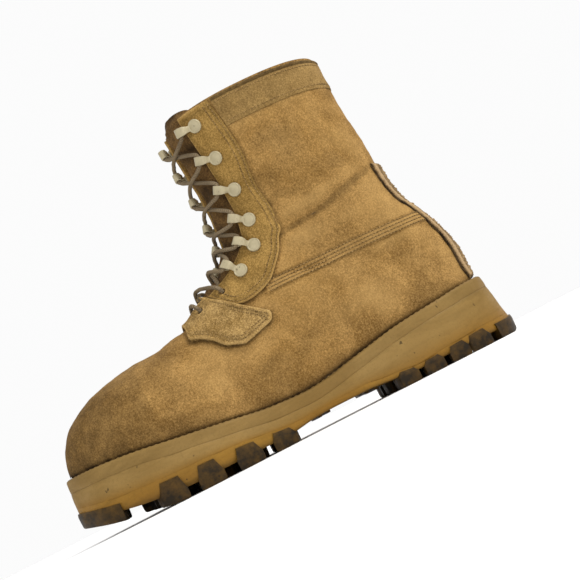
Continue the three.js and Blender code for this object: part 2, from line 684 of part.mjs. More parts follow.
// Place on a ring of the upper, measured round it from the throat's middle line, medial positive:
// the point, the direction towards the middle line, the outward normal and the direction up the throat.
function skinFrame(row, distance) {
  const held = Math.min(row, LAST_ROW);
  const middleX = THROAT_LEAN * throatShare(held) + SECTION.frontX(THROAT_ROW) / 2;
  const at = (turn, shift = 0) => skinPoint(held + shift, turn < 0 ? -1 : 1, Math.PI / 2 - Math.abs(turn));
  let low = -1;
  let high = 1;
  for (let k = 0; k < SEARCH_STEPS; k += 1) {
    const middle = (low + high) / 2;
    if (at(middle).x < middleX) low = middle;
    else high = middle;
  }
  const stride = SKIN_STRIDE * Math.sign(distance);
  let turn = low;
  let point = at(turn);
  let walked = 0;
  while (walked < Math.abs(distance)) {
    const next = at(turn + stride);
    walked += next.distanceTo(point);
    point = next;
    turn += stride;
  }
  const side = distance < 0 ? -1 : 1;
  const medial = at(turn + SKIN_STEP).sub(at(turn - SKIN_STEP)).normalize();
  const rise = 4 * SKIN_STEP;
  const ahead = held + rise > LAST_ROW
    ? point.clone().sub(at(turn, -rise))
    : at(turn, rise).sub(point);
  const out = medial.clone().cross(ahead).normalize();
  const ridge = medial.clone().multiplyScalar(-side);
  const up = out.clone().cross(medial);
  return { origin: point, ridge, medial, out, up };
}

// Ribbon along the throat's middle line, through the wall and on above the collar, its half width by row.
function throatRibbon(rows, halfAt) {
  return loft(
    rows.map((row) => {
      const frame = skinFrame(row, 0);
      frame.origin.z += Math.max(row - LAST_ROW, 0) * SKIRT;
      const corner = (across, out) =>
        frame.origin.clone().addScaledVector(frame.medial, across).addScaledVector(frame.out, out);
      const half = halfAt(row);
      return [
        corner(half, RIBBON_OUT),
        corner(half, -RIBBON_IN),
        corner(-half, -RIBBON_IN),
        corner(-half, RIBBON_OUT),
      ];
    }),
  );
}

function rowsBetween(from, to, count) {
  return Array.from({ length: count + 1 }, (_, k) => lerp(from, to, k / count));
}

const throatHalf = (row) => lerp(THROAT_FOOT_WIDTH, THROAT_WIDTH, Math.sqrt(throatShare(row))) / 2;
const THROAT = throatRibbon(rowsBetween(THROAT_ROW, LAST_ROW + 2, THROAT_STEPS), throatHalf);

// Side view outline of an overlay.
function cutPoints(rows) {
  return rows.map((row) => {
    const height = row.instep * INSTEP_HEIGHT + row.shaft * (BOOT_HEIGHT - INSTEP_HEIGHT);
    return new THREE.Vector2(upperY(row.along), height);
  });
}
const cutPrism = (rows, fromX, toX) => {
  const points = cutPoints(rows);
  if (THREE.ShapeUtils.isClockWise(points)) points.reverse();
  return sidePrism(points, fromX, toX);
};

const UNDER_UPPER = underSeat(JOINT_GAP);

const hookDistance = (row) => throatHalf(row) + HOOK_SETBACK;
const holeDistance = (row) => throatHalf(row) + HOLE_SETBACK;

// Rows of the sections at shares of the facing's length.
function facingRows(shares) {
  const rows = rowsBetween(THROAT_ROW, LAST_ROW, 80);
  const points = rows.map((row) => skinFrame(row, hookDistance(row)).origin);
  const lengths = [0];
  points.slice(1).forEach((point, i) => lengths.push(lengths[i] + point.distanceTo(points[i])));
  return shares.map((share) => {
    const wanted = share * lengths.at(-1);
    const next = lengths.findIndex((length) => length >= wanted);
    const part = (wanted - lengths[next - 1]) / (lengths[next] - lengths[next - 1]);
    return lerp(rows[next - 1], rows[next], part);
  });
}
const LACE_ROWS = facingRows(LACE_STATIONS);

// Hole axis through overlay and wall.
function laceHole(row, side) {
  const frame = skinFrame(row, side * holeDistance(row));
  const radius = HOLE_DIAMETER / 2;
  const geometry = new THREE.CylinderGeometry(radius, radius, 4 * TAB_THICKNESS, HOLE_SIDES);
  const upright = new THREE.Vector3(0, 1, 0);
  geometry.applyQuaternion(new THREE.Quaternion().setFromUnitVectors(upright, frame.out));
  geometry.translate(...frame.origin.addScaledVector(frame.out, TAB_THICKNESS / 2).toArray());
  return solidOf(geometry);
}
const HOLES = joined(
  LACE_ROWS.slice(0, HOLE_COUNT).flatMap((row) => [laceHole(row, 1), laceHole(row, -1)]),
);

// Upright prism of a lug, reaching up into the outsole's plate.
function lug(kind, row, inset) {
  const y = yOf(row.along);
  const turn = turnOf(row.along);
  const x = outlineCentre(turn) + row.across * (outlineHalf(turn) - inset);
  const corners = LUG_SHAPES[kind].map(
    (corner) => new THREE.Vector2((corner.across * row.width) / 2, (corner.along * row.length) / 2),
  );
  const geometry = new THREE.ExtrudeGeometry(new THREE.Shape(corners), {
    depth: gumTopAt(y) + 2 * LUG_DEPTH,
    bevelEnabled: false,
  });
  if (kind === "edge" && row.across < 0) geometry.rotateZ(Math.PI);
  geometry.rotateZ(THREE.MathUtils.degToRad(row.turn));
  geometry.translate(x, y, -LUG_DEPTH);
  return solidOf(geometry);
}

// Toe plate or heel rim: an end of the outline, kept outside an inner line.
function endPlate(row) {
  const tall = 2 * HEEL_STACK;
  const outer = loft([
    soleRing(-LUG_STEP, 0, () => -LUG_DEPTH),
    soleRing(-LUG_STEP, 0, () => tall),
  ]);
  const inner = loft([
    soleRing(row.width, 0, () => -2 * LUG_DEPTH),
    soleRing(row.width, 0, () => 2 * tall),
  ]);
  const side = [
    new THREE.Vector2(yOf(row.to), -3 * LUG_DEPTH),
    new THREE.Vector2(yOf(row.from), -3 * LUG_DEPTH),
    new THREE.Vector2(yOf(row.from), tall),
    new THREE.Vector2(yOf(row.to), tall),
  ];
  return outer.subtract(inner).intersect(sidePrism(side, -BALL_WIDTH, BALL_WIDTH));
}

// Space between two height lines of the sole
function slab(lowAt, highAt) {
  const low = [];
  const high = [];
  for (let k = 0; k <= 2 * OUTLINE_STEPS; k += 1) {
    const y = lerp(-0.55, 0.55, k / (2 * OUTLINE_STEPS)) * SOLE_LENGTH;
    low.push(new THREE.Vector2(y, lowAt(y)));
    high.push(new THREE.Vector2(y, highAt(y)));
  }
  return sidePrism([...low, ...high.reverse()], -BALL_WIDTH, BALL_WIDTH);
}

function outsole() {
  const plate = loft([
    soleRing(PLATE_INSET, 0, treadAt),
    soleRing(PLATE_INSET / 6, 0, (y) => lerp(treadAt(y), gumTopAt(y), 0.35)),
    soleRing(0, MIDSOLE_RINGS[0].lean, gumTopAt),
  ]);
  const edgeLugs = [
    ...EDGE_LUGS.map((row) => lug("edge", row, row.width / 2)),
    ...END_PLATES.map(endPlate),
  ];
  const centreLugs = CENTRE_LUGS.map((row) => lug("centre", row, 0));
  const barSize = { across: 0, length: SHANK_BAR_LENGTH, width: SHANK_BAR_WIDTH, turn: 0 };
  const bars = SHANK_BARS.map((along) => lug("bar", { along, ...barSize }, 0));
  const lugLimit = loft([
    soleRing(-LUG_STEP, 0, () => -LUG_DEPTH),
    soleRing(-LUG_STEP, MIDSOLE_RINGS[0].lean, () => 2 * HEEL_STACK),
  ]);
  const rootAt = (y) => treadAt(y) + LUG_ROOT;
  const climbDepth = slab(groundAt, (y) => lerp(treadAt(y), gumTopAt(y), LUG_CLIMB));
  const lugDepth = slab(groundAt, rootAt);
  const barDepth = slab((y) => treadAt(y) - SHANK_RISE / 2, rootAt);
  return plate
    .add(joined(edgeLugs).intersect(lugLimit).intersect(climbDepth))
    .add(joined(centreLugs).intersect(lugLimit).intersect(lugDepth))
    .add(joined(bars).intersect(lugLimit).intersect(barDepth));
}

function midsole() {
  const foot = (y) => gumTopAt(y) + JOINT_GAP;
  const head = (y) => weltFootAt(y) - JOINT_GAP;
  const at = (share) => (y) => lerp(foot(y), head(y), share);
  const wedge = loft(
    MIDSOLE_RINGS.map((row) => soleRing(row.inset * SIDE_GROOVE, row.lean, at(row.height))),
  );
  const coreInset = WELT_WIDTH + JOINT_GAP;
  const core = loft([soleRing(coreInset, 0.8, at(0.5)), soleRing(coreInset, 1, seatAt)]);
  return wedge.add(core);
}

function welt() {
  const at = (share) => (y) => lerp(weltFootAt(y), seatAt(y), share);
  const strip = loft(WELT_RINGS.map((row) => soleRing(row.inset * WELT_BEAD, row.lean, at(row.height))));
  const opening = loft([
    soleRing(WELT_WIDTH, 0.8, (y) => weltFootAt(y) - SKIRT),
    soleRing(WELT_WIDTH, 1, (y) => seatAt(y) + SKIRT),
  ]);
  return strip.subtract(opening);
}

function insole() {
  const inset = WELT_MARGIN + UPPER_WALL;
  const bed = loft([
    soleRing(inset, 1, (y) => seatAt(y) + JOINT_GAP),
    soleRing(inset, 1, (y) => seatAt(y) + JOINT_GAP + INSOLE_THICKNESS),
  ]);
  return bed.intersect(skinBody(-(UPPER_WALL + INSOLE_CLEARANCE), 2, 0));
}

const BACKSTAY_SLOT = cutPrism(
  BACKSTAY_CUT,
  -BACKSTAY_WIDTH / 2 - JOINT_GAP,
  BACKSTAY_WIDTH / 2 + JOINT_GAP,
);

function upper() {
  const wall = skinShell(-UPPER_WALL, 0);
  const seam = skinShell(-UPPER_WALL / 2, SEAM_STEP)
    .intersect(cutPrism(SEAM_CUT, -BALL_WIDTH, BALL_WIDTH))
    .subtract(BACKSTAY_SLOT);
  return wall.add(seam).subtract(THROAT).subtract(HOLES).subtract(UNDER_UPPER);
}

function tongue() {
  const front = -(UPPER_WALL + TONGUE_CLEARANCE);
  const outer = skinBody(front, 2, TONGUE_RISE);
  const inner = skinBody(front - TONGUE_THICKNESS, 2, TONGUE_RISE + SKIRT);
  const foot = THROAT_ROW - TONGUE_FOOT_ROWS;
  const rows = [...rowsBetween(foot, LAST_ROW, TONGUE_STEPS), LAST_ROW + 1, LAST_ROW + 1.5, LAST_ROW + 2];
  const half = (row) => {
    const flare = lerp(TONGUE_FOOT, 1, Math.min((row - foot) / TONGUE_FLARE_ROWS, 1));
    const above = Math.max(row - LAST_ROW, 0) / 2;
    return (TONGUE_WIDTH / 2) * flare * (1 - TONGUE_ROUND * above ** 2);
  };
  return outer.subtract(inner).intersect(throatRibbon(rows, half));
}

const sideRange = (side) => (side > 0 ? [1, BALL_WIDTH] : [-BALL_WIDTH, -1]);

function eyestay(side) {
  return skinShell(JOINT_GAP, JOINT_GAP + EYESTAY_THICKNESS)
    .intersect(cutPrism(EYESTAY_CUT, ...sideRange(side)))
    .subtract(THROAT)
    .subtract(HOLES);
}

function tab(side) {
  return skinShell(JOINT_GAP, JOINT_GAP + TAB_THICKNESS)
    .intersect(cutPrism(TAB_CUT, ...sideRange(side)))
    .subtract(THROAT)
    .subtract(HOLES);
}

function collarBand() {
  return skinShell(JOINT_GAP, JOINT_GAP + BAND_THICKNESS).intersect(
    cutPrism(BAND_CUT, -BALL_WIDTH, BALL_WIDTH),
  );
}

function backstay() {
  return skinShell(JOINT_GAP, JOINT_GAP + BACKSTAY_THICKNESS).intersect(
    cutPrism(BACKSTAY_CUT, -BACKSTAY_WIDTH / 2, BACKSTAY_WIDTH / 2),
  );
}

// Outline of a bent strip from its centre line.
function stripShape(points, thickness) {
  const sides = points.map((point, i) => {
    const before = points[Math.max(i - 1, 0)];
    const after = points[Math.min(i + 1, points.length - 1)];
    const normal = new THREE.Vector2(before.y - after.y, after.x - before.x).normalize();
    return [
      point.clone().addScaledVector(normal, thickness / 2),
      point.clone().addScaledVector(normal, -thickness / 2),
    ];
  });
  return new THREE.Shape([...sides.map((pair) => pair[1]), ...sides.map((pair) => pair[0]).reverse()]);
}

// Centre line of a hook's arm, along and above the facing: out from the cap, over the lace and under it.
function hookLine() {
  const low = HOOK_PLATE / 2;
  const high = HOOK_PLATE * 1.5 + LACE_DIAMETER + 2 * LACE_CLEARANCE;
  const end = HOOK_REACH - HOOK_PLATE / 2;
  const round = (high - low) / 2;
  const points = [[0, low], [HOOK_FLAT, low + HOOK_PLATE * 0.4], [HOOK_SHOULDER, high]];
  for (let k = 0; k <= HOOK_BEND_STEPS; k += 1) {
    const angle = Math.PI / 2 - (Math.PI * k) / HOOK_BEND_STEPS;
    points.push([end - round + round * Math.cos(angle), (low + high) / 2 + round * Math.sin(angle)]);
  }
  points.push([HOOK_TIP, low]);
  return points.map(([x, y]) => new THREE.Vector2(x, y));
}
const LACE_SEAT = HOOK_REACH - HOOK_PLATE - LACE_CLEARANCE - LACE_DIAMETER / 2;
const LACE_LIFT = HOOK_PLATE + LACE_CLEARANCE + LACE_DIAMETER / 2;
const FACING_TOP = JOINT_GAP + EYESTAY_THICKNESS + HOOK_SEAT_GAP;

function hook(row, side) {
  const frame = skinFrame(row, side * hookDistance(row));
  const arm = new THREE.ExtrudeGeometry(stripShape(hookLine(), HOOK_PLATE), {
    depth: HOOK_WIDTH,
    bevelEnabled: false,
  });
  arm.translate(0, 0, -HOOK_WIDTH / 2);
  const radius = HOOK_CAP_DIAMETER / 2;
  const profile = [
    new THREE.Vector2(0, 0),
    new THREE.Vector2(radius, 0),
    new THREE.Vector2(radius, HOOK_PLATE * 0.7),
    new THREE.Vector2(radius * 0.8, HOOK_CAP_HEIGHT),
    new THREE.Vector2(0, HOOK_CAP_HEIGHT * 1.1),
  ];
  const cap = new THREE.LatheGeometry(profile, CAP_SIDES);
  const basis = new THREE.Matrix4().makeBasis(
    frame.ridge,
    frame.out,
    frame.ridge.clone().cross(frame.out),
  );
  basis.setPosition(frame.origin.clone().addScaledVector(frame.out, FACING_TOP));
  return solidOf(arm).add(solidOf(cap)).transform(basis.toArray());
}

// Height of the lace's middle over the skin: over the tab at the lowest holes, over the eyestay above.
const laceLift = (level) => {
  const overlay = level === 0 ? TAB_THICKNESS : EYESTAY_THICKNESS;
  return 2 * JOINT_GAP + overlay + LACE_REST + LACE_DIAMETER / 2;
};

// Place where the lace lies at a hole or in a hook, with the direction up the throat.
function laceSeat(level, side) {
  const row = LACE_ROWS[level];
  const isHole = level < HOLE_COUNT;
  const frame = skinFrame(row, side * (isHole ? holeDistance(row) : hookDistance(row)));
  const lift = isHole ? laceLift(level) : FACING_TOP + LACE_LIFT;
  const reach = isHole ? 0 : LACE_SEAT;
  const point = frame.origin.clone().addScaledVector(frame.out, lift).addScaledVector(frame.ridge, reach);
  return { point, up: frame.up };
}

// Middle of a crossing, bowed out over the tongue.
function laceMiddle(level, next) {
  const frame = skinFrame((LACE_ROWS[level] + LACE_ROWS[next]) / 2, 0);
  return frame.origin.clone().addScaledVector(frame.out, laceLift(level) + LACE_BOW);
}

// Path with a corner at each of its points, evenly numbered.
class CornerPath extends THREE.Curve {
  constructor(points) {
    super();
    this.points = points;
  }

  getPoint(share, target = new THREE.Vector3()) {
    const place = Math.min(share, 1) * (this.points.length - 1);
    const first = Math.min(Math.floor(place), this.points.length - 2);
    return target.lerpVectors(this.points[first], this.points[first + 1], place - first);
  }

  getUtoTmapping(share) {
    return share;
  }
}

// Half of the lace, zigzag from one lowest hole to a top hook. The medial half starts across the throat.
function laceStrand(firstSide) {
  const points = firstSide > 0 ? [laceSeat(0, -1).point, laceMiddle(0, 0)] : [];
  LACE_ROWS.forEach((_, level) => {
    const side = level % 2 === 0 ? firstSide : -firstSide;
    const seat = laceSeat(level, side);
    const half = level < HOLE_COUNT ? HOLE_DIAMETER / 3 : HOOK_WIDTH / 2 + LACE_RUN_OUT;
    if (level > 0) points.push(laceMiddle(level - 1, level));
    points.push(seat.point.clone().addScaledVector(seat.up, -half));
    points.push(seat.point.clone().addScaledVector(seat.up, half));
  });
  const section = Array.from({ length: LACE_SIDES }, (_, k) => {
    const angle = (2 * Math.PI * k) / LACE_SIDES;
    return new THREE.Vector2(Math.cos(angle), Math.sin(angle)).multiplyScalar(LACE_DIAMETER / 2);
  });
  const geometry = new THREE.ExtrudeGeometry(new THREE.Shape(section), {
    steps: points.length - 1,
    extrudePath: new CornerPath(points),
  });
  return solidOf(geometry);
}

const boot = new THREE.Group();
boot.add(meshOf("outsole", outsole(), MATERIALS.gum));
boot.add(meshOf("midsole", midsole(), MATERIALS.tan));
boot.add(meshOf("welt", welt(), MATERIALS.tan));
boot.add(meshOf("insole", insole(), MATERIALS.lining));
boot.add(meshOf("upper", upper(), MATERIALS.suede));
boot.add(meshOf("tongue", tongue(), MATERIALS.suede));
for (const [word, side] of [["medial", 1], ["lateral", -1]]) {
  boot.add(meshOf(`eyestay_${word}`, eyestay(side), MATERIALS.facing));
  boot.add(meshOf(`tab_${word}`, tab(side), MATERIALS.facing));
  LACE_ROWS.slice(HOLE_COUNT).forEach((row, i) => {
    boot.add(meshOf(`hook_${word}_${i + 1}`, hook(row, side), MATERIALS.enamel));
  });
}
boot.add(meshOf("collar_band", collarBand(), MATERIALS.suede));
boot.add(meshOf("backstay", backstay(), MATERIALS.lining));
boot.add(meshOf("lace", laceStrand(1).add(laceStrand(-1)), MATERIALS.cord));

// The frame's origin lies on the floor under the middle of the boot's box
const box = new THREE.Box3().setFromObject(boot);
const middle = box.getCenter(new THREE.Vector3());
boot.position.set(-middle.x, -middle.y, -box.min.z);

const part = new THREE.Group();
part.add(boot);

export default part;
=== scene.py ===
"""Right combat boot in coyote suede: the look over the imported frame."""

import math

import bmesh
import bpy
import numpy as np
from mathutils import Matrix, Vector, kdtree
from mathutils.geometry import delaunay_2d_cdt


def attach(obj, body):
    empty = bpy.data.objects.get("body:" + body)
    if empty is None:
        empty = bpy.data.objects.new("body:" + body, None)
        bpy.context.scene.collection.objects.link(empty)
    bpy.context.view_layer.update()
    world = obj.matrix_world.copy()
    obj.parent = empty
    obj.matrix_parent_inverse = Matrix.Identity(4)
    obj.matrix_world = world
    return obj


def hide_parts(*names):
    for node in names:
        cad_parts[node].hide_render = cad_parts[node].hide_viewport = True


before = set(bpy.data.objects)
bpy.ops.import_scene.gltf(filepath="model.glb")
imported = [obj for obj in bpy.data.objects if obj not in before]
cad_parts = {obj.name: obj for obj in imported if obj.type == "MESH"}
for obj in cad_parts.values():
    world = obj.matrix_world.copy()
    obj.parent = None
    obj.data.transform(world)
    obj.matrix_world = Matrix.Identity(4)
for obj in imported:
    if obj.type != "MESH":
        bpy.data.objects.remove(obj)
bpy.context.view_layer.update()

# Sizes are in millimetres in the last's own frame, the source's numbers; MM and SHIFT place them in the row frame.
MM = 0.001
SHIFT = np.array([0.909, 0.031, 0.0])

# Main sizes of the last and the boot
SOLE_LENGTH = 319
BALL_WIDTH = 106
HEEL_WIDTH = 80
BOOT_HEIGHT = 234
INSTEP_HEIGHT = 100
HEEL_STACK = 43
SHAFT_WIDTH = 82
UPPER_WALL = 2.2
GAP = 0.3

# Sole
LUG_DEPTH = 6.5
TOE_SPRING = 12
SHANK_RISE = 3
OUTSOLE_THICKNESS = 10
WELT_THICKNESS = 8.5
WELT_WIDTH = 15
WELT_MARGIN = 3.4
WELT_BEAD = 0.9
SIDE_GROOVE = 1.2
SIDE_LEAN = 1.2
REAR_FLARE = 7
LUG_STEP = 1.0
INSOLE_THICKNESS = 4
INSOLE_MARGIN = 4
SKIRT = 8

# Lacing, tongue and overlays
THROAT_WIDTH = 33
THROAT_FOOT_WIDTH = 10
THROAT_LEAN = 5
THROAT_OPENING_ROWS = 7
THROAT_ROUND_ROWS = 0.35
TONGUE_THICKNESS = 2.6
TONGUE_WIDTH = 54
TONGUE_CLEARANCE = 0.5
TONGUE_FOOT = 0.62
TONGUE_FOOT_ROWS = 1.2
TONGUE_FLARE_ROWS = 3
TONGUE_TOP = 6
EYESTAY_THICKNESS = 1.6
TAB_THICKNESS = 3.6
BAND_THICKNESS = 1.2
BACKSTAY_THICKNESS = 2.6
BACKSTAY_WIDTH = 40
SEAM_STEP = 0.7
HOOK_SETBACK = 9.5
HOLE_SETBACK = 7
HOLE_DIAMETER = 4.6
LACE_DIAMETER = 3
HOOK_CAP_DIAMETER = 9.6
HOOK_CAP_HEIGHT = 1.6
HOOK_WIDTH = 5.6
HOOK_PLATE = 1
HOOK_REACH = 14.4
LACE_CLEARANCE = 0.35
HOOK_SEAT_GAP = 0.5
LACE_BOW = 1.5
LACE_RUN_OUT = 2.4
LACE_REST = 1.9
HOLE_COUNT = 2
LACE_STATIONS = [0.09, 0.2, 0.305, 0.415, 0.52, 0.65, 0.79, 0.935]

# Columns: along, centre, heel, ball
OUTLINE = [
    (0.0, 0.0, 0.0, 0.0),
    (0.02, 0.0, 0.27, 0.0),
    (0.05, 0.0, 0.39, 0.0),
    (0.09, 0.0, 0.465, 0.0),
    (0.14, 0.0, 0.5, 0.0),
    (0.2, 0.0, 0.505, 0.0),
    (0.28, -0.008, 0.375, 0.09),
    (0.37, -0.026, 0.235, 0.17),
    (0.46, -0.044, 0.12, 0.262),
    (0.56, -0.044, 0.0, 0.4),
    (0.66, -0.026, 0.0, 0.474),
    (0.73, -0.008, 0.0, 0.5),
    (0.805, 0.008, 0.0, 0.477),
    (0.88, 0.022, 0.0, 0.41),
    (0.94, 0.036, 0.0, 0.305),
    (0.98, 0.045, 0.0, 0.165),
    (1.0, 0.05, 0.0, 0.0),
]

# Columns: along, seat, base, spring, shank
SOLE_LINES = [
    (0.0, 1.06, 0.75, 0.12, 0),
    (0.03, 1.05, 0.72, 0.0, 0),
    (0.1, 1.02, 0.68, 0.0, 0),
    (0.15, 0.98, 0.6, 0.0, 0),
    (0.26, 0.9, 0.36, 0.0, 0),
    (0.33, 0.81, 0.36, 0.0, 0.7),
    (0.37, 0.755, 0.4, 0.0, 1),
    (0.44, 0.66, 0.4, 0.0, 1),
    (0.49, 0.625, 0.38, 0.0, 0.8),
    (0.56, 0.645, 0.6, 0.0, 0),
    (0.66, 0.74, 0.95, 0.0, 0),
    (0.76, 0.84, 1.1, 0.0, 0),
    (0.86, 0.95, 1.0, 0.19, 0),
    (0.93, 1.0, 0.85, 0.52, 0),
    (1.0, 1.03, 0.7, 1, 0),
]

# Columns: along, top, full, wide, crown, tuck, lean
FOOT_SECTIONS = [
    (0.9995, 0.475, 1.0, 0.5, 2.6, 1.4, 0.0),
    (0.9965, 0.53, 1.0, 0.48, 2.6, 1.4, 0.0),
    (0.986, 0.62, 1.0, 0.46, 2.6, 1.4, 0.0),
    (0.963, 0.72, 1.01, 0.44, 2.5, 1.4, 0.0),
    (0.934, 0.79, 1.015, 0.42, 2.45, 1.4, 0.002),
    (0.899, 0.85, 1.015, 0.4, 2.35, 1.4, 0.006),
    (0.851, 0.9, 1.015, 0.37, 2.2, 1.4, 0.012),
    (0.807, 0.925, 1.01, 0.34, 2.05, 1.4, 0.02),
    (0.759, 0.94, 1.01, 0.31, 1.92, 1.4, 0.028),
    (0.714, 0.96, 1.01, 0.29, 1.82, 1.4, 0.03),
    (0.676, 0.985, 1.02, 0.28, 1.76, 1.4, 0.03),
    (0.641, 1.01, 1.04, 0.28, 1.74, 1.4, 0.026),
]

# Columns: front, rise, back, lift (None on the seat), full, wide, crown, tuck, lean
LEG_SECTIONS = [
    (0.596, 0.08, 0.503, None, 0.485, 0.29, 1.76, 1.45, 0.022),
    (0.561, 0.13, 0.401, None, 0.462, 0.3, 1.8, 1.5, 0.016),
    (0.529, 0.178, 0.299, None, 0.448, 0.31, 1.85, 1.6, 0.008),
    (0.511, 0.222, 0.197, None, 0.44, 0.33, 1.9, 1.7, 0),
    (0.495, 0.272, 0.107, None, 0.435, 0.36, 1.95, 1.85, -0.01),
    (0.489, 0.309, 0.046, None, 0.43, 0.38, 2.0, 2.0, -0.017),
    (0.484, 0.338, 0.016, None, 0.426, 0.4, 2.0, 2.1, -0.022),
    (0.481, 0.367, 0.0022, None, 0.422, 0.42, 2.05, 2.2, -0.027),
    (0.478, 0.4, 0.0, 0.045, 0.419, 0.44, 2.1, 2.25, -0.031),
    (0.476, 0.447, 0.0, 0.122, 0.416, 0.45, 2.1, 2.25, -0.035),
    (0.473, 0.505, 0.013, 0.219, 0.412, 0.46, 2.15, 2.2, -0.039),
    (0.473, 0.571, 0.0335, 0.3, 0.41, 0.47, 2.2, 2.15, -0.042),
    (0.473, 0.636, 0.059, 0.377, 0.414, 0.48, 2.2, 2.1, -0.045),
    (0.476, 0.709, 0.0735, 0.48, 0.424, 0.48, 2.2, 2.1, -0.047),
    (0.479, 0.789, 0.078, 0.617, 0.442, 0.48, 2.2, 2.1, -0.048),
    (0.482, 0.876, 0.086, 0.786, 0.468, 0.48, 2.25, 2.15, -0.05),
    (0.486, 0.985, 0.096, 1.0, 0.49, 0.48, 2.3, 2.2, -0.05),
]

# Cut lines of the overlays, seen from the side. Columns: along, instep, shaft
EYESTAY_REAR = [
    (0.382, 1, 0.985),
    (0.372, 1, 0.86),
    (0.362, 1, 0.675),
    (0.366, 1, 0.505),
    (0.358, 1, 0.345),
    (0.36, 1, 0.24),
    (0.37, 1, 0.21),
    (0.385, 1, 0.142),
    (0.41, 1, 0.076),
    (0.436, 1, 0.018),
    (0.468, 0.985, 0),
    (0.5, 0.968, 0),
    (0.519, 0.975, 0),
    (0.565, 1, 0.084),
    (0.585, 1, 0.14),
]
TAB_EDGE = [
    (0.643, 0.96, 0),
    (0.65, 0.89, 0),
    (0.626, 0.862, 0),
    (0.604, 0.81, 0),
    (0.588, 0.75, 0),
    (0.547, 0.71, 0),
    (0.474, 0.775, 0),
    (0.466, 0.83, 0),
    (0.519, 0.96, 0),
    (0.567, 1, 0.07),
    (0.59, 1, 0.13),
]
BAND_LOW = 0.82
BAND_HIGH = 0.985
BAND_FRONT = 0.372
BACKSTAY_LOW = 49
BACKSTAY_HIGH = 148
SEAM_HIGH = [(0.455, 88.5), (0.386, 94), (0.32, 98), (0.232, 103.3), (0.15, 108), (0.1, 108), (-0.05, 104)]
SEAM_LOW = [(0.455, 78.5), (0.395, 83), (0.321, 88), (0.254, 93), (0.207, 95.5), (0.15, 97), (0.1, 97), (-0.05, 95)]

# Lugs. Columns: along, across, length, width, turn
EDGE_LUGS = [
    (0.105, -1, 15, 17, 24),
    (0.165, -1, 14, 16, 6),
    (0.225, -1, 14, 16, 0),
    (0.288, -1, 14, 17, -8),
    (0.105, 1, 15, 17, -24),
    (0.165, 1, 14, 16, -6),
    (0.228, 1, 14, 16, 0),
    (0.29, 1, 13, 17, 8),
    (0.548, -1, 13, 19, 12),
    (0.62, -1, 15, 19, 6),
    (0.7, -1, 16, 19, 0),
    (0.78, -1, 16, 19, -10),
    (0.858, -1, 15, 17, -26),
    (0.56, 1, 15, 19, -16),
    (0.645, 1, 17, 20, -6),
    (0.735, 1, 17, 20, 4),
    (0.82, 1, 16, 19, 16),
]
CENTRE_LUGS = [
    (0.15, 0, 17, 22, 0),
    (0.225, 0, 15, 20, 180),
    (0.295, 0, 12, 22, 0),
    (0.565, 0, 14, 24, 180),
    (0.625, 0.22, 13, 18, 20),
    (0.665, -0.24, 15, 19, 200),
    (0.7, 0.24, 15, 19, 0),
    (0.75, -0.22, 15, 20, 180),
    (0.79, 0.24, 14, 18, -10),
    (0.84, -0.18, 14, 20, 200),
]
LUG_SHAPES = {
    "edge": [(-1, -0.72), (-0.35, -0.78), (0, -1), (1.6, -1), (1.6, 1), (0, 1), (-0.35, 0.78), (-1, 0.72), (-0.72, 0)],
    "centre": [
        (-1, -0.55), (-0.45, -1), (0.45, -1), (1, -0.55), (0.72, 0), (1, 0.6),
        (0.4, 1), (0, 0.45), (-0.4, 1), (-1, 0.6), (-0.72, 0),
    ],
    "bar": [(-1, -1), (1, -1), (1, 1), (-1, 1)],
}
SHANK_BARS = [0.345, 0.365, 0.455, 0.475]

# Soft creases and ridges of the upper, seen from the side. Each: depth (minus is a trough), width, places (y, z).
MEDIAL_FOLDS = [
    (-1.7, 3.2, [(24, 124), (36, 128), (52, 130), (68, 132), (84, 136), (100, 141), (118, 146)]),
    (1.5, 5.0, [(30, 135), (48, 139), (66, 141), (84, 145), (100, 150)]),
    (1.4, 6.5, [(30, 121), (50, 119), (75, 119), (104, 121)]),
    (-1.0, 3.6, [(20, 103), (36, 101), (48, 98.5), (60, 99)]),
    (0.8, 4.5, [(34, 158), (46, 162), (59, 160), (70, 151)]),
    (-0.9, 4.5, [(38, 149), (50, 153), (62, 149)]),
    (-1.0, 10.0, [(44, 200), (66, 190), (95, 196)]),
    (0.9, 9.0, [(58, 176), (82, 170), (105, 173)]),
    (-1.1, 7.0, [(100, 186), (96, 165), (102, 146)]),
    (-0.9, 8.0, [(55, 76), (85, 80), (112, 84)]),
    (0.8, 8.0, [(20, 66), (50, 62), (90, 68)]),
    (-0.8, 6.0, [(5, 62), (-10, 52), (-28, 48)]),
]
LATERAL_FOLDS = [
    (-1.7, 3.4, [(24, 127), (36, 130), (52, 129), (70, 131), (90, 136), (118, 144)]),
    (1.3, 6.0, [(36, 139), (58, 139), (80, 143), (102, 150)]),
    (1.1, 7.0, [(28, 120), (54, 117), (78, 118), (104, 122)]),
    (-1.1, 4.0, [(14, 106), (30, 101), (46, 96), (62, 97)]),
    (-1.0, 9.0, [(42, 176), (64, 182), (92, 174)]),
    (0.9, 9.0, [(50, 205), (75, 198), (100, 204)]),
    (-0.8, 6.0, [(60, 158), (78, 152), (98, 157)]),
    (-0.9, 8.0, [(40, 74), (70, 78), (108, 82)]),
    (0.8, 8.0, [(10, 64), (44, 60), (84, 66)]),
]
# Bends across the vamp. Columns: depth, width, y
VAMP_FOLDS = [(-0.5, 5.0, -50), (0.3, 6.0, -60), (-0.35, 6.0, -72), (0.25, 7.0, -86)]

# Camera, as the photograph was taken, but no lower than the floor
CAMERA_AZIMUTH = 82.2
CAMERA_DISTANCE = 0.697
CAMERA_HEIGHT = 0.009
CAMERA_ROLL = -26.9
CAMERA_LENS = 63
CAMERA_AIM = (0.0, 0.031, 0.095)


def lerp(low, high, share):
    return low + (high - low) * share


def ease(share):
    share = np.clip(share, 0, 1)
    return share * share * (3 - 2 * share)


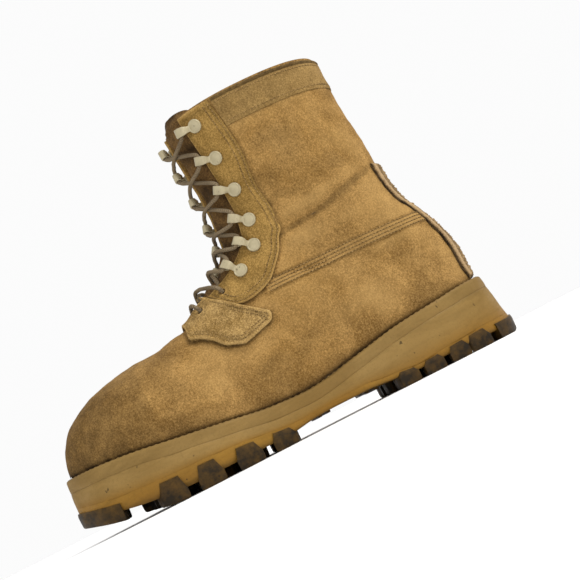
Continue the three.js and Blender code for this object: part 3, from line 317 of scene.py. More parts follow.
def smooth(xs, ys):
    """Smooth curve through the rows of a table that never overshoots them."""
    xs = np.asarray(xs, float)
    ys = np.asarray(ys, float)
    slope = np.diff(ys) / np.diff(xs)
    tangent = np.concatenate([slope[:1], np.zeros(len(xs) - 2), slope[-1:]])
    for i in range(1, len(xs) - 1):
        if slope[i - 1] * slope[i] > 0:
            tangent[i] = 2 * slope[i - 1] * slope[i] / (slope[i - 1] + slope[i])

    def at(x):
        x = np.clip(x, xs[0], xs[-1])
        i = np.clip(np.searchsorted(xs, x, side="right") - 1, 0, len(xs) - 2)
        step = xs[i + 1] - xs[i]
        u = (x - xs[i]) / step
        rise = ys[i + 1] - ys[i]
        bend = tangent[i] * step
        leave = tangent[i + 1] * step
        return ys[i] + u * (bend + u * (3 * rise - 2 * bend - leave + u * (bend + leave - 2 * rise)))

    return at


def turn_of(along):
    return np.arccos(1 - 2 * np.clip(along, 0, 1))


outline_table = np.array(OUTLINE, float)
outline_turns = turn_of(outline_table[:, 0])
outline_centre = smooth(outline_turns, outline_table[:, 1] * BALL_WIDTH)
outline_half = smooth(outline_turns, outline_table[:, 2] * HEEL_WIDTH + outline_table[:, 3] * BALL_WIDTH)
line_table = np.array(SOLE_LINES, float)
seat_line, base_line, spring_line, shank_line = (smooth(line_table[:, 0], line_table[:, k]) for k in range(1, 5))


def along_of(y):
    return 0.5 - y / SOLE_LENGTH


def y_of(along):
    return SOLE_LENGTH * (0.5 - along)


def ground_at(y):
    return TOE_SPRING * spring_line(along_of(y))


def tread_at(y):
    return ground_at(y) + LUG_DEPTH + SHANK_RISE * shank_line(along_of(y))


def gum_top_at(y):
    return tread_at(y) + OUTSOLE_THICKNESS * base_line(along_of(y))


def seat_at(y):
    return HEEL_STACK * seat_line(along_of(y))


def welt_foot_at(y):
    return seat_at(y) - WELT_THICKNESS


OUTLINE_STEPS = 130


def sole_outline():
    """Points of the sole's outline and its outward normals, heel lip, lateral side, toe, medial side."""
    k = np.arange(2 * OUTLINE_STEPS)
    first = k <= OUTLINE_STEPS
    turn = np.pi * np.where(first, k / OUTLINE_STEPS, 2 - k / OUTLINE_STEPS)
    x = outline_centre(turn) + np.where(first, -1, 1) * outline_half(turn)
    points = np.stack([x, y_of((1 - np.cos(turn)) / 2)], 1)
    chord = np.roll(points, -1, 0) - np.roll(points, 1, 0)
    normals = np.stack([chord[:, 1], -chord[:, 0]], 1)
    return points, normals / np.linalg.norm(normals, axis=1)[:, None]


SOLE_POINTS, SOLE_NORMALS = sole_outline()


def sole_ring(inset, lean, height_at):
    rear = np.maximum(0, SOLE_NORMALS[:, 1]) ** 2
    move = inset + lean * lerp(SIDE_LEAN, REAR_FLARE, rear)
    flat = SOLE_POINTS - SOLE_NORMALS * np.broadcast_to(move, rear.shape)[:, None]
    return np.column_stack([flat, np.broadcast_to(height_at(flat[:, 1]), rear.shape)])


WELT_LINE = sole_ring(WELT_MARGIN, 1, seat_at)
HEEL_END = WELT_LINE[0, 1]
TOE_END = WELT_LINE[OUTLINE_STEPS, 1]


def upper_y(along):
    return lerp(HEEL_END, TOE_END, along)


def welt_x(y, side):
    line = WELT_LINE[: OUTLINE_STEPS + 1] if side < 0 else np.vstack([WELT_LINE[:1], WELT_LINE[OUTLINE_STEPS:][::-1]])
    order = np.argsort(line[:, 1])
    return np.interp(y, line[order, 1], line[order, 0])


def section_curves():
    """Each length of the upper's sections as a smooth curve over the rows."""
    rows = []
    for along, top, full, wide, crown, tuck, lean in FOOT_SECTIONS:
        y = upper_y(along)
        half = (welt_x(y, 1) - welt_x(y, -1)) / 2
        centre = (welt_x(y, 1) + welt_x(y, -1)) / 2
        front_x = centre * (1 if along > 0.8 else 0.5) + lean * BALL_WIDTH
        rows.append(
            (y, top * INSTEP_HEIGHT, y, seat_at(y) - SKIRT, half, half * full, wide, crown, tuck, centre, front_x)
        )
    for front, rise, back, lift, full, wide, crown, tuck, lean in LEG_SECTIONS:
        back_y = upper_y(back)
        seated = lift is None
        half = (welt_x(back_y, 1) - welt_x(back_y, -1)) / 2 if seated else 0
        back_z = seat_at(back_y) - SKIRT if seated else lerp(HEEL_STACK, BOOT_HEIGHT, lift)
        back_x = (welt_x(back_y, 1) + welt_x(back_y, -1)) / 2 if seated else 0
        widest = max(full * SHAFT_WIDTH, half * 1.02)
        front_z = lerp(INSTEP_HEIGHT, BOOT_HEIGHT, rise)
        rows.append(
            (upper_y(front), front_z, back_y, back_z, half, widest, wide, crown, tuck, back_x, lean * BALL_WIDTH)
        )
    names = ["front_y", "front_z", "back_y", "back_z", "base", "full", "wide", "crown", "tuck", "back_x", "front_x"]
    table = np.array(rows, float)
    return {name: smooth(np.arange(len(table)), table[:, k]) for k, name in enumerate(names)}


SECTION = section_curves()
LAST_ROW = len(FOOT_SECTIONS) + len(LEG_SECTIONS) - 1
THROAT_ROW = len(FOOT_SECTIONS) - 1


def skin_ring(row, turn):
    """Points of the upper's outer surface at one row. turn: 0 at the ridge, +pi medial bottom, -pi lateral bottom."""
    s = {name: float(curve(row)) for name, curve in SECTION.items()}
    angle = np.pi / 2 - np.abs(turn)
    lower = angle < 0
    power = 2 / np.where(lower, s["tuck"], s["crown"])
    sine = np.abs(np.sin(angle)) ** power
    cosine = np.maximum(np.cos(angle), 0) ** power
    share = np.where(lower, s["wide"] * (1 - sine), s["wide"] + (1 - s["wide"]) * sine)
    half = np.where(lower, s["base"] + (s["full"] - s["base"]) * cosine, s["full"] * cosine)
    x = lerp(s["back_x"], s["front_x"], share) + np.where(turn < 0, -1, 1) * half
    y = lerp(s["back_y"], s["front_y"], share)
    z = lerp(s["back_z"], s["front_z"], share)
    return np.stack([x, y, z], 1)


CHART_STEPS = 10
CHART_SIDE = 170
RING_STEPS = 500


def throat_share(row):
    return np.clip((row - THROAT_ROW) / THROAT_OPENING_ROWS, 0, 1)


def middle_turn(row):
    """Turn of the throat's middle line, eased from the ridge in front of the throat."""
    weight = float(ease((row - THROAT_ROW + 3) / 3))
    if weight == 0:
        return 0.0
    wanted = THROAT_LEAN * throat_share(row) + SECTION["front_x"](THROAT_ROW) / 2
    turns = np.linspace(-1, 1, 401)
    return weight * float(np.interp(wanted, skin_ring(row, turns)[:, 0], turns))


def half_ring(row, start, end):
    """Points evenly spaced round half a ring, with the half's length."""
    ring = skin_ring(row, np.linspace(start, end, RING_STEPS))
    walked = np.concatenate([[0], np.cumsum(np.linalg.norm(np.diff(ring, axis=0), axis=1))])
    wanted = np.linspace(0, walked[-1], CHART_SIDE + 1)
    return np.stack([np.interp(wanted, walked, ring[:, k]) for k in range(3)], 1), walked[-1]


def make_chart():
    """The upper's surface over (row, arc distance from the throat's middle line)."""
    points, medial, lateral = [], [], []
    for row in np.linspace(0, LAST_ROW, LAST_ROW * CHART_STEPS + 1):
        start = middle_turn(row)
        right, length = half_ring(row, start, np.pi)
        left, other = half_ring(row, start, -np.pi)
        points.append(np.vstack([left[::-1], right[1:]]))
        medial.append(length)
        lateral.append(other)
    points = np.array(points)
    across = np.gradient(points, axis=1)
    ahead = np.gradient(points, axis=0)
    normals = np.cross(across, ahead)
    normals /= np.maximum(np.linalg.norm(normals, axis=2), 1e-9)[:, :, None]
    return points, normals, np.array(medial), np.array(lateral)


CHART, CHART_NORMALS, MEDIAL_GIRTH, LATERAL_GIRTH = make_chart()
CHART_ROWS = np.linspace(0, LAST_ROW, len(CHART))


def girth(row, side):
    return np.interp(row, CHART_ROWS, np.where(np.asarray(side) > 0, 1, 0)) if False else np.where(
        np.asarray(side) > 0, np.interp(row, CHART_ROWS, MEDIAL_GIRTH), np.interp(row, CHART_ROWS, LATERAL_GIRTH)
    )


def on_skin(row, arc, table=None):
    """Point (or normal) of the upper's surface at rows and arc distances."""
    table = CHART if table is None else table
    row = np.clip(np.asarray(row, float), 0, LAST_ROW)
    share = np.clip(np.asarray(arc, float) / girth(row, arc), -1, 1)
    i = row * CHART_STEPS
    j = (share + 1) * CHART_SIDE
    i0 = np.clip(i.astype(int), 0, table.shape[0] - 2)
    j0 = np.clip(j.astype(int), 0, table.shape[1] - 2)
    u = (i - i0)[..., None]
    v = (j - j0)[..., None]
    near = table[i0, j0] * (1 - v) + table[i0, j0 + 1] * v
    far = table[i0 + 1, j0] * (1 - v) + table[i0 + 1, j0 + 1] * v
    return near * (1 - u) + far * u


def skin_normal(row, arc):
    n = on_skin(row, arc, CHART_NORMALS)
    return n / np.linalg.norm(n, axis=-1)[..., None]


def throat_half(row):
    return lerp(THROAT_FOOT_WIDTH, THROAT_WIDTH, np.sqrt(throat_share(row))) / 2


def throat_edge(row):
    """Half width of the throat with its foot rounded."""
    foot = np.sqrt(np.clip((np.asarray(row, float) - THROAT_ROW) / THROAT_ROUND_ROWS, 0, 1))
    return throat_half(row) * foot


def find_on_skin(targets, side, axes=(1, 2)):
    """Rows and arc distances of the places that look to lie at targets along two axes, on one side."""
    middle = CHART_SIDE
    columns = np.arange(middle, 2 * middle + 1) if side > 0 else np.arange(0, middle + 1)
    flat = CHART[:, columns][:, :, list(axes)].reshape(-1, 2)
    tree = kdtree.KDTree(len(flat))
    for index, place in enumerate(flat):
        tree.insert((place[0], place[1], 0), index)
    tree.balance()
    found = []
    for target in targets:
        index = tree.find((target[0], target[1], 0))[1]
        i, j = divmod(index, len(columns))
        row = CHART_ROWS[i]
        arc = (columns[j] - middle) / middle * girth(row, side)
        found.append((row, float(arc)))
    found = np.array(found)
    for _ in range(4):
        row, arc = found[:, 0], found[:, 1]
        here = on_skin(row, arc)[:, list(axes)]
        by_row = (on_skin(np.minimum(row + 0.05, LAST_ROW), arc) - on_skin(np.maximum(row - 0.05, 0), arc))
        span = np.minimum(row + 0.05, LAST_ROW) - np.maximum(row - 0.05, 0)
        by_row = by_row[:, list(axes)] / span[:, None]
        by_arc = (on_skin(row, arc + 0.5) - on_skin(row, arc - 0.5))[:, list(axes)]
        miss = np.asarray(targets)[:, :2] - here
        det = by_row[:, 0] * by_arc[:, 1] - by_row[:, 1] * by_arc[:, 0]
        safe = np.abs(det) > 0.05
        det = np.where(safe, det, 1)
        step_row = np.where(safe, (miss[:, 0] * by_arc[:, 1] - miss[:, 1] * by_arc[:, 0]) / det, 0)
        step_arc = np.where(safe, (by_row[:, 0] * miss[:, 1] - by_row[:, 1] * miss[:, 0]) / det, 0)
        found[:, 0] = np.clip(row + np.clip(step_row, -0.3, 0.3), 0, LAST_ROW)
        found[:, 1] = arc + np.clip(step_arc, -3, 3)
        found[:, 1] = np.maximum(found[:, 1], 0.01) if side > 0 else np.minimum(found[:, 1], -0.01)
    return found


def densify(points, step, closed=False):
    """Points evenly spaced along a polyline."""
    points = np.asarray(points, float)
    if closed:
        points = np.vstack([points, points[:1]])
    walked = np.concatenate([[0], np.cumsum(np.linalg.norm(np.diff(points, axis=0), axis=1))])
    count = max(2, int(round(walked[-1] / step)))
    wanted = np.linspace(0, walked[-1], count + 1)
    out = np.stack([np.interp(wanted, walked, points[:, k]) for k in range(points.shape[1])], 1)
    return out[:-1] if closed else out


def rounded(points, steps=12):
    """Smooth curve through a few points, by their chord lengths."""
    points = np.asarray(points, float)
    walked = np.concatenate([[0], np.cumsum(np.linalg.norm(np.diff(points, axis=0), axis=1))])
    wanted = np.linspace(0, walked[-1], steps * (len(points) - 1) + 1)
    return np.stack([smooth(walked, points[:, k])(wanted) for k in range(points.shape[1])], 1)


def cut_points(rows):
    return [(upper_y(along), i * INSTEP_HEIGHT + s * (BOOT_HEIGHT - INSTEP_HEIGHT)) for along, i, s in rows]


def line_distance(points, line):
    """Distance of each point to a polyline, and the share of the way along it."""
    best = np.full(len(points), 1e9)
    place = np.zeros(len(points))
    lengths = np.linalg.norm(np.diff(line, axis=0), axis=1)
    walked = np.concatenate([[0], np.cumsum(lengths)])
    for a, b, length, before in zip(line[:-1], line[1:], lengths, walked):
        d = (b - a) / max(length, 1e-9)
        t = np.clip((points - a) @ d, 0, length)
        gap = np.linalg.norm(points - a - t[:, None] * d, axis=1)
        nearer = gap < best
        best = np.where(nearer, gap, best)
        place = np.where(nearer, (before + t) / walked[-1], place)
    return best, place


def lumps(points, scale, seed, waves=14):
    """Gentle unevenness of about -1 to 1."""
    draw = np.random.default_rng(seed)
    total = np.zeros(len(points))
    for _ in range(waves):
        direction = draw.normal(size=3)
        direction /= np.linalg.norm(direction)
        total += np.sin(points @ direction * (2 * np.pi / scale) * draw.uniform(0.6, 1.5) + draw.uniform(0, 6.3))
    return total / math.sqrt(waves)


# Meshes

def add_mesh(name, points, faces, material, replaced=(), slot=None, flat=False, marks=None):
    """Piece from points in the last's frame, riding on the boot."""
    mesh = bpy.data.meshes.new(name)
    placed = (np.asarray(points, float) + SHIFT) * MM
    mesh.from_pydata([tuple(p) for p in placed], [], [tuple(int(v) for v in f) for f in faces])
    mesh.validate()
    for key, values in (marks or {}).items():
        layer = mesh.attributes.new(key, "FLOAT", "POINT")
        layer.data.foreach_set("value", np.asarray(values, np.float32))
    piece = bpy.data.objects.new(name, mesh)
    bpy.context.scene.collection.objects.link(piece)
    tidy_mesh(mesh)
    if not flat:
        mesh.polygons.foreach_set("use_smooth", [True] * len(mesh.polygons))
    mesh.materials.append(material)
    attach(piece, "root")
    if replaced:
        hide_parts(*replaced)
    return piece


def tidy_mesh(mesh):
    """Welds seams, drops faces without area and turns normals outwards."""
    work = bmesh.new()
    work.from_mesh(mesh)
    bmesh.ops.remove_doubles(work, verts=work.verts, dist=0.00001)
    bmesh.ops.dissolve_degenerate(work, edges=work.edges, dist=0.000005)
    bmesh.ops.recalc_face_normals(work, faces=work.faces)
    work.to_mesh(mesh)
    work.free()


def grid_faces(rows, columns, first=0, wrap=False):
    faces = []
    across = columns if wrap else columns - 1
    for i in range(rows - 1):
        for j in range(across):
            a = first + i * columns + j
            b = first + i * columns + (j + 1) % columns
            faces.append((a, b, b + columns, a + columns))
    return faces


def cap_faces(first, count, flip=False):
    """Faces across a ring from side to side, from its two ends inwards."""
    faces = [(first, first + 1, first + count - 1)]
    k = 1
    while k + 1 < count - k - 1:
        faces.append((first + k, first + k + 1, first + count - k - 1, first + count - k))
        k += 1
    if k + 1 == count - k - 1:
        faces.append((first + k, first + k + 1, first + count - k))
    return [face[::-1] for face in faces] if flip else faces


class Pile:
    """Points and faces gathered for one joined mesh."""

    def __init__(self):
        self.points = []
        self.faces = []
        self.marks = []
        self.count = 0

    def add(self, points, faces, mark=0.0):
        points = np.asarray(points, float)
        self.points.append(points)
        self.marks.append(np.broadcast_to(mark, len(points)))
        self.faces.extend([tuple(v + self.count for v in face) for face in faces])
        self.count += len(points)

    def loft(self, rings, caps=True, mark=0.0):
        count = len(rings[0])
        faces = grid_faces(len(rings), count, wrap=True)
        if caps:
            faces += cap_faces(0, count, True) + cap_faces((len(rings) - 1) * count, count)
        self.add(np.vstack(rings), faces, mark)

    def piece(self, name, material, **keys):
        return add_mesh(
            name, np.vstack(self.points), self.faces, material, marks={"mark": np.concatenate(self.marks)}, **keys
        )


# Materials

def node(tree, kind, **inputs):
    made = tree.nodes.new(kind)
    for key, value in inputs.items():
        name = key.replace("_", " ")
        target = made.inputs.get(name) or made.inputs.get(name.title())
        if isinstance(value, bpy.types.NodeSocket):
            tree.links.new(value, target)
        elif target is not None:
            target.default_value = value
    return made


def noise(tree, place, scale, detail=4.0, roughness=0.6, distortion=0.0):
    made = tree.nodes.new("ShaderNodeTexNoise")
    tree.links.new(place, made.inputs["Vector"])
    made.inputs["Scale"].default_value = scale
    made.inputs["Detail"].default_value = detail
    made.inputs["Roughness"].default_value = roughness
    made.inputs["Distortion"].default_value = distortion
    return made.outputs["Fac"]


def span(tree, value, low, high, to_low=0.0, to_high=1.0):
    made = tree.nodes.new("ShaderNodeMapRange")
    made.clamp = True
    tree.links.new(value, made.inputs["Value"])
    for name, number in zip(["From Min", "From Max", "To Min", "To Max"], [low, high, to_low, to_high]):
        made.inputs[name].default_value = number
    return made.outputs["Result"]


def maths(tree, operation, a, b=0.0):
    made = tree.nodes.new("ShaderNodeMath")
    made.operation = operation
    for socket, value in zip(made.inputs, (a, b)):
        if isinstance(value, bpy.types.NodeSocket):
            tree.links.new(value, socket)
        else:
            socket.default_value = value
    return made.outputs[0]


def mix(tree, share, first, second, blend="MIX"):
    made = tree.nodes.new("ShaderNodeMix")
    made.data_type = "RGBA"
    made.blend_type = blend
    made.clamp_factor = True
    for name, value in (("Factor", share), ("A", first), ("B", second)):
        socket = [s for s in made.inputs if s.name == name and s.enabled][0]
        if isinstance(value, bpy.types.NodeSocket):
            tree.links.new(value, socket)
        elif name == "Factor":
            socket.default_value = value
        else:
            socket.default_value = (*value, 1)
    return [s for s in made.outputs if s.enabled][0]


def colour(red, green, blue):
    """Linear colour of a screen colour of 0 to 255."""
    return tuple((c / 255 / 12.92) if c < 10 else ((c / 255 + 0.055) / 1.055) ** 2.4 for c in (red, green, blue))


def start_material(name):
    material = bpy.data.materials.new(name)
    material.use_nodes = True
    tree = material.node_tree
    tree.nodes.clear()
    shader = tree.nodes.new("ShaderNodeBsdfPrincipled")
    out = tree.nodes.new("ShaderNodeOutputMaterial")
    tree.links.new(shader.outputs[0], out.inputs[0])
    place = tree.nodes.new("ShaderNodeTexCoord").outputs["Object"]
    return material, tree, shader, place


def attribute(tree, name):
    made = tree.nodes.new("ShaderNodeAttribute")
    made.attribute_name = name
    return made.outputs["Fac"]


def bump(tree, shader, height, strength, distance):
    made = tree.nodes.new("ShaderNodeBump")
    made.inputs["Strength"].default_value = strength
    made.inputs["Distance"].default_value = distance
    tree.links.new(height, made.inputs["Height"])
    tree.links.new(made.outputs[0], shader.inputs["Normal"])


def marks_of(tree):
    """Marks painted on the mesh: positive ones are dirt and painted shade; negative ones are pale raw edges, worn
    patches and painted highlights on suede, and the neighbour's colour on rubber.
    """
    mark = attribute(tree, "mark")
    return maths(tree, "MAXIMUM", mark, 0.0), maths(tree, "MAXIMUM", maths(tree, "MULTIPLY", mark, -1.0), 0.0)


def suede(name, base, light, dark, dirt_and_shade_colour, pale_and_highlight_colour, grain=1.0):
    """Napped leather: fibres, brushed patches, scuffs, dirt and painted shade where marked, raw edges and painted
    highlights.
    """
    material, tree, shader, place = start_material(name)
    broad = span(tree, noise(tree, place, 13, 4, 0.55, 0.6), 0.38, 0.62)
    patches = span(tree, noise(tree, place, 34, 5, 0.6, 0.8), 0.36, 0.66)
    clouds = span(tree, noise(tree, place, 80, 6, 0.66, 1.1), 0.4, 0.68)
    scuffs = span(tree, noise(tree, place, 210, 5, 0.74, 0.9), 0.54, 0.76)
    nap = noise(tree, place, 900, 4, 0.8, 0.2)
    fibres = noise(tree, place, 2300, 2, 0.7)
    tone = mix(tree, maths(tree, "MULTIPLY", broad, 0.55), base, dark)
    tone = mix(tree, maths(tree, "MULTIPLY", patches, 0.6), tone, light)
    tone = mix(tree, maths(tree, "MULTIPLY", clouds, 0.38), tone, dark)
    tone = mix(tree, maths(tree, "MULTIPLY", scuffs, 0.35 * grain), tone, light)
    tone = mix(tree, span(tree, nap, 0.54, 0.34, 0, 0.72), tone, dark)
    tone = mix(tree, span(tree, nap, 0.5, 0.68, 0, 0.62), tone, light)
    tone = mix(tree, span(tree, fibres, 0.5, 0.3, 0, 0.5), tone, dark)
    shading_and_dirt, pale_and_highlight = marks_of(tree)
    shading_and_dirt = maths(tree, "MULTIPLY", shading_and_dirt, span(tree, noise(tree, place, 140, 4, 0.7), 0.25, 0.6, 0.5, 1))
    tone = mix(tree, pale_and_highlight, tone, pale_and_highlight_colour)
    tone = mix(tree, shading_and_dirt, tone, dirt_and_shade_colour)
    tree.links.new(tone, shader.inputs["Base Color"])
    shader.inputs["Roughness"].default_value = 0.95
    shader.inputs["Specular IOR Level"].default_value = 0.12
    shader.inputs["Sheen Weight"].default_value = 0.03
    shader.inputs["Sheen Roughness"].default_value = 0.6
    shader.inputs["Sheen Tint"].default_value = (*light, 1)
    height = maths(tree, "ADD", nap, maths(tree, "MULTIPLY", clouds, 0.4))
    bump(tree, shader, height, min(1.0, 0.55 * grain), 0.0006)
    return material


def rubber(name, base, light, dark, dirt_and_shade_colour, blend, roughness):
    """Moulded rubber with smudges and dirt spots, dirt and painted shade where marked and its neighbour's colour where
    the mark is negative.
    """
    material, tree, shader, place = start_material(name)
    stretched = tree.nodes.new("ShaderNodeMapping")
    stretched.inputs["Scale"].default_value = (1, 0.4, 2.0)
    tree.links.new(place, stretched.inputs["Vector"])
    smudge = span(tree, noise(tree, stretched.outputs[0], 46, 6, 0.7, 0.6), 0.42, 0.7)
    cloudy = span(tree, noise(tree, place, 16, 4, 0.55, 0.4), 0.36, 0.66)
    fine = noise(tree, place, 700, 3, 0.7)
    shading_and_dirt, other = marks_of(tree)
    tone = mix(tree, maths(tree, "MULTIPLY", cloudy, 0.6), base, light)
    tone = mix(tree, other, tone, blend)
    tone = mix(tree, maths(tree, "MULTIPLY", smudge, 0.4), tone, dark)
    spots = span(tree, noise(tree, place, 210, 2, 0.5), 0.72, 0.76)
    tone = mix(tree, maths(tree, "MULTIPLY", spots, 0.8), tone, dirt_and_shade_colour)
    tone = mix(tree, span(tree, fine, 0.5, 0.3, 0, 0.25), tone, dark)
    patchy = span(tree, noise(tree, place, 120, 4, 0.65), 0.3, 0.6, 0.72, 1)
    tone = mix(tree, maths(tree, "MULTIPLY", shading_and_dirt, patchy), tone, dirt_and_shade_colour)
    tree.links.new(tone, shader.inputs["Base Color"])
    tree.links.new(span(tree, smudge, 0, 1, roughness - 0.05, roughness + 0.15), shader.inputs["Roughness"])
    shader.inputs["Specular IOR Level"].default_value = 0.16
    bump(tree, shader, maths(tree, "ADD", maths(tree, "MULTIPLY", fine, 0.5), smudge), 0.3, 0.0003)
    return material


def cloth(name, base, light, dark, scale=1400, woven=0.4):
    """Spun or woven fibres, darker where the mesh is marked."""
    material, tree, shader, place = start_material(name)
    weave = tree.nodes.new("ShaderNodeTexWave")
    weave.inputs["Scale"].default_value = scale / 6
    weave.inputs["Distortion"].default_value = 2.5
    weave.inputs["Detail"].default_value = 3
    tree.links.new(place, weave.inputs["Vector"])
    fibres = noise(tree, place, scale, 3, 0.7)
    tone = mix(tree, span(tree, fibres, 0.3, 0.7), dark, base)
    tone = mix(tree, maths(tree, "MULTIPLY", weave.outputs["Fac"], woven), tone, light)
    tone = mix(tree, maths(tree, "MULTIPLY", span(tree, noise(tree, place, 60, 4, 0.6), 0.4, 0.7), 0.5), tone, dark)
    tone = mix(tree, maths(tree, "MULTIPLY", marks_of(tree)[0], 0.9), tone, tuple(c * 0.3 for c in dark))
    tree.links.new(tone, shader.inputs["Base Color"])
    shader.inputs["Roughness"].default_value = 0.9
    shader.inputs["Specular IOR Level"].default_value = 0.2
    relief = maths(tree, "ADD", maths(tree, "MULTIPLY", weave.outputs["Fac"], 2.5 * woven), fibres)
    bump(tree, shader, relief, 0.6, 0.0004)
    return material


def enamel(name, base, worn, dark):
    material, tree, shader, place = start_material(name)
    chips = span(tree, noise(tree, place, 420, 4, 0.65, 0.4), 0.62, 0.7)
    grey = span(tree, noise(tree, place, 160, 3, 0.6), 0.4, 0.7)
    tone = mix(tree, maths(tree, "MULTIPLY", grey, 0.5), base, dark)
    tone = mix(tree, maths(tree, "MULTIPLY", chips, 0.8), tone, worn)
    tree.links.new(tone, shader.inputs["Base Color"])
    shader.inputs["Roughness"].default_value = 0.42
    shader.inputs["Metallic"].default_value = 0.25
    bump(tree, shader, noise(tree, place, 900, 2, 0.5), 0.15, 0.0002)
    return material


SUEDE = suede("suede", colour(142, 107, 55), colour(186, 147, 88), colour(86, 61, 27),
              dirt_and_shade_colour=colour(48, 34, 15), pale_and_highlight_colour=colour(172, 138, 84))
FACING = suede("facing_suede", colour(148, 114, 57), colour(190, 153, 88), colour(88, 65, 27),
               dirt_and_shade_colour=colour(50, 37, 16), pale_and_highlight_colour=colour(186, 153, 98))
TAB = suede("tab_suede", colour(154, 119, 61), colour(212, 176, 114), colour(80, 58, 26),
            dirt_and_shade_colour=colour(42, 30, 14), pale_and_highlight_colour=colour(186, 154, 100), grain=2.2)
BAND = suede("collar_suede", colour(138, 108, 60), colour(172, 140, 86), colour(90, 68, 36),
             dirt_and_shade_colour=colour(46, 34, 18), pale_and_highlight_colour=colour(148, 120, 74))
TONGUE = suede("tongue_suede", colour(104, 76, 42), colour(144, 110, 64), colour(54, 38, 20),
               dirt_and_shade_colour=colour(34, 24, 14), pale_and_highlight_colour=colour(150, 118, 74), grain=1.3)
STRIP = suede("backstay", colour(136, 107, 68), colour(186, 157, 114), colour(66, 48, 28),
              dirt_and_shade_colour=colour(34, 25, 15), pale_and_highlight_colour=colour(182, 153, 114), grain=2.0)
LINING = cloth("lining", colour(92, 74, 48), colour(128, 106, 74), colour(52, 40, 24), 900, 0.06)
TAN = rubber("midsole_rubber", colour(124, 96, 47), colour(146, 118, 68), colour(90, 69, 33),
             dirt_and_shade_colour=colour(56, 41, 19), blend=colour(126, 91, 32), roughness=0.6)
GUM = rubber("gum_rubber", colour(126, 89, 27), colour(146, 110, 40), colour(84, 60, 20),
             dirt_and_shade_colour=colour(30, 21, 6), blend=colour(126, 96, 42), roughness=0.55)
THREAD = cloth("thread", colour(150, 118, 68), colour(186, 152, 98), colour(94, 71, 38), 2200)
CORD = cloth("lace_cord", colour(126, 108, 82), colour(164, 146, 116), colour(68, 56, 40), 1800)
METAL = enamel("hook_enamel", colour(168, 156, 124), colour(100, 90, 70), colour(134, 123, 96))


# Upper

UPPER_COLUMNS = 105
UPPER_ROWS = np.concatenate([
    np.linspace(0, THROAT_ROW, 118),
    np.linspace(THROAT_ROW, THROAT_ROW + 1, 26)[1:],
    np.linspace(THROAT_ROW + 1, LAST_ROW, 205)[1:],
])


def seat_arc(row, side):
    """Arc distance at which the upper meets the welt, or its whole half girth where it closes at the back."""
    arcs = np.linspace(0, float(girth(row, side)), 400) * side
    ring = on_skin(np.full(400, row), arcs)
    below = ring[:, 2] < seat_at(ring[:, 1]) - 4
    below[:150] = False
    if not below[-1]:
        return float(girth(row, side)), True
    last_above = int(np.where(~below)[0][-1])
    return abs(float(arcs[last_above + 1])), False


def fold_relief(points, side):
    """Height of the creases and ridges, and how deep in a crease each place is."""
    height = np.zeros(len(points))
    view = points[:, 1:3]
    for folds, sign in ((MEDIAL_FOLDS, 1), (LATERAL_FOLDS, -1)):
        here = side == sign
        for depth, width, line in folds:
            gap, place = line_distance(view[here], rounded(line))
            fade = np.sqrt(np.clip(np.sin(np.pi * np.clip(place, 0.03, 0.97)), 0, 1))
            height[here] += depth * np.exp(-((gap / width) ** 2)) * fade
    return height


def vamp_relief(points, arc):
    height = np.zeros(len(points))
    reach = 1 - ease((np.abs(arc) - 18) / 34)
    for depth, width, y in VAMP_FOLDS:
        bow = y + 0.004 * arc**2 + 1.5 * np.sin(arc / 9 + y)
        height += depth * np.exp(-(((points[:, 1] - bow) / width) ** 2)) * reach
    return height


EYESTAY_LINE = rounded(cut_points(EYESTAY_REAR), 4)
TAB_LINE = np.array(cut_points(TAB_EDGE))
SEAM_HIGH_LINE = rounded([(upper_y(along), z) for along, z in SEAM_HIGH])
SEAM_LOW_LINE = rounded([(upper_y(along), z) for along, z in SEAM_LOW])


def seam_relief(points):
    """Raised band of the seam between vamp and quarter."""
    high = np.interp(-points[:, 1], -SEAM_HIGH_LINE[:, 0], SEAM_HIGH_LINE[:, 1])
    low = np.interp(-points[:, 1], -SEAM_LOW_LINE[:, 0], SEAM_LOW_LINE[:, 1])
    front = points[:, 1] - SEAM_HIGH_LINE[0, 0]
    inside = np.minimum(np.minimum(high - points[:, 2], points[:, 2] - low), front)
    raised = ease(inside / 0.9 + 0.3)
    share = (points[:, 2] - low) / np.maximum(high - low, 1)
    rows = sum(np.exp(-(((share - at) * 10 / 0.7) ** 2)) for at in SEAM_ROWS)
    edge = np.exp(-((inside / 0.8) ** 2)) * (front > -0.8)
    return raised, rows * (inside > 0), edge


SEAM_ROWS = [0.1, 0.36, 0.62, 0.88]


def overlay_shade(points, side):
    """Painted shadow on the upper along the edges of the eyestay and the tab."""
    shade = np.zeros(len(points))
    for line in (EYESTAY_LINE, TAB_LINE):
        gap = line_distance(points[:, 1:3], line)[0]
        shade = np.maximum(shade, 0.55 * np.exp(-((gap / 1.6) ** 2)))
    return shade


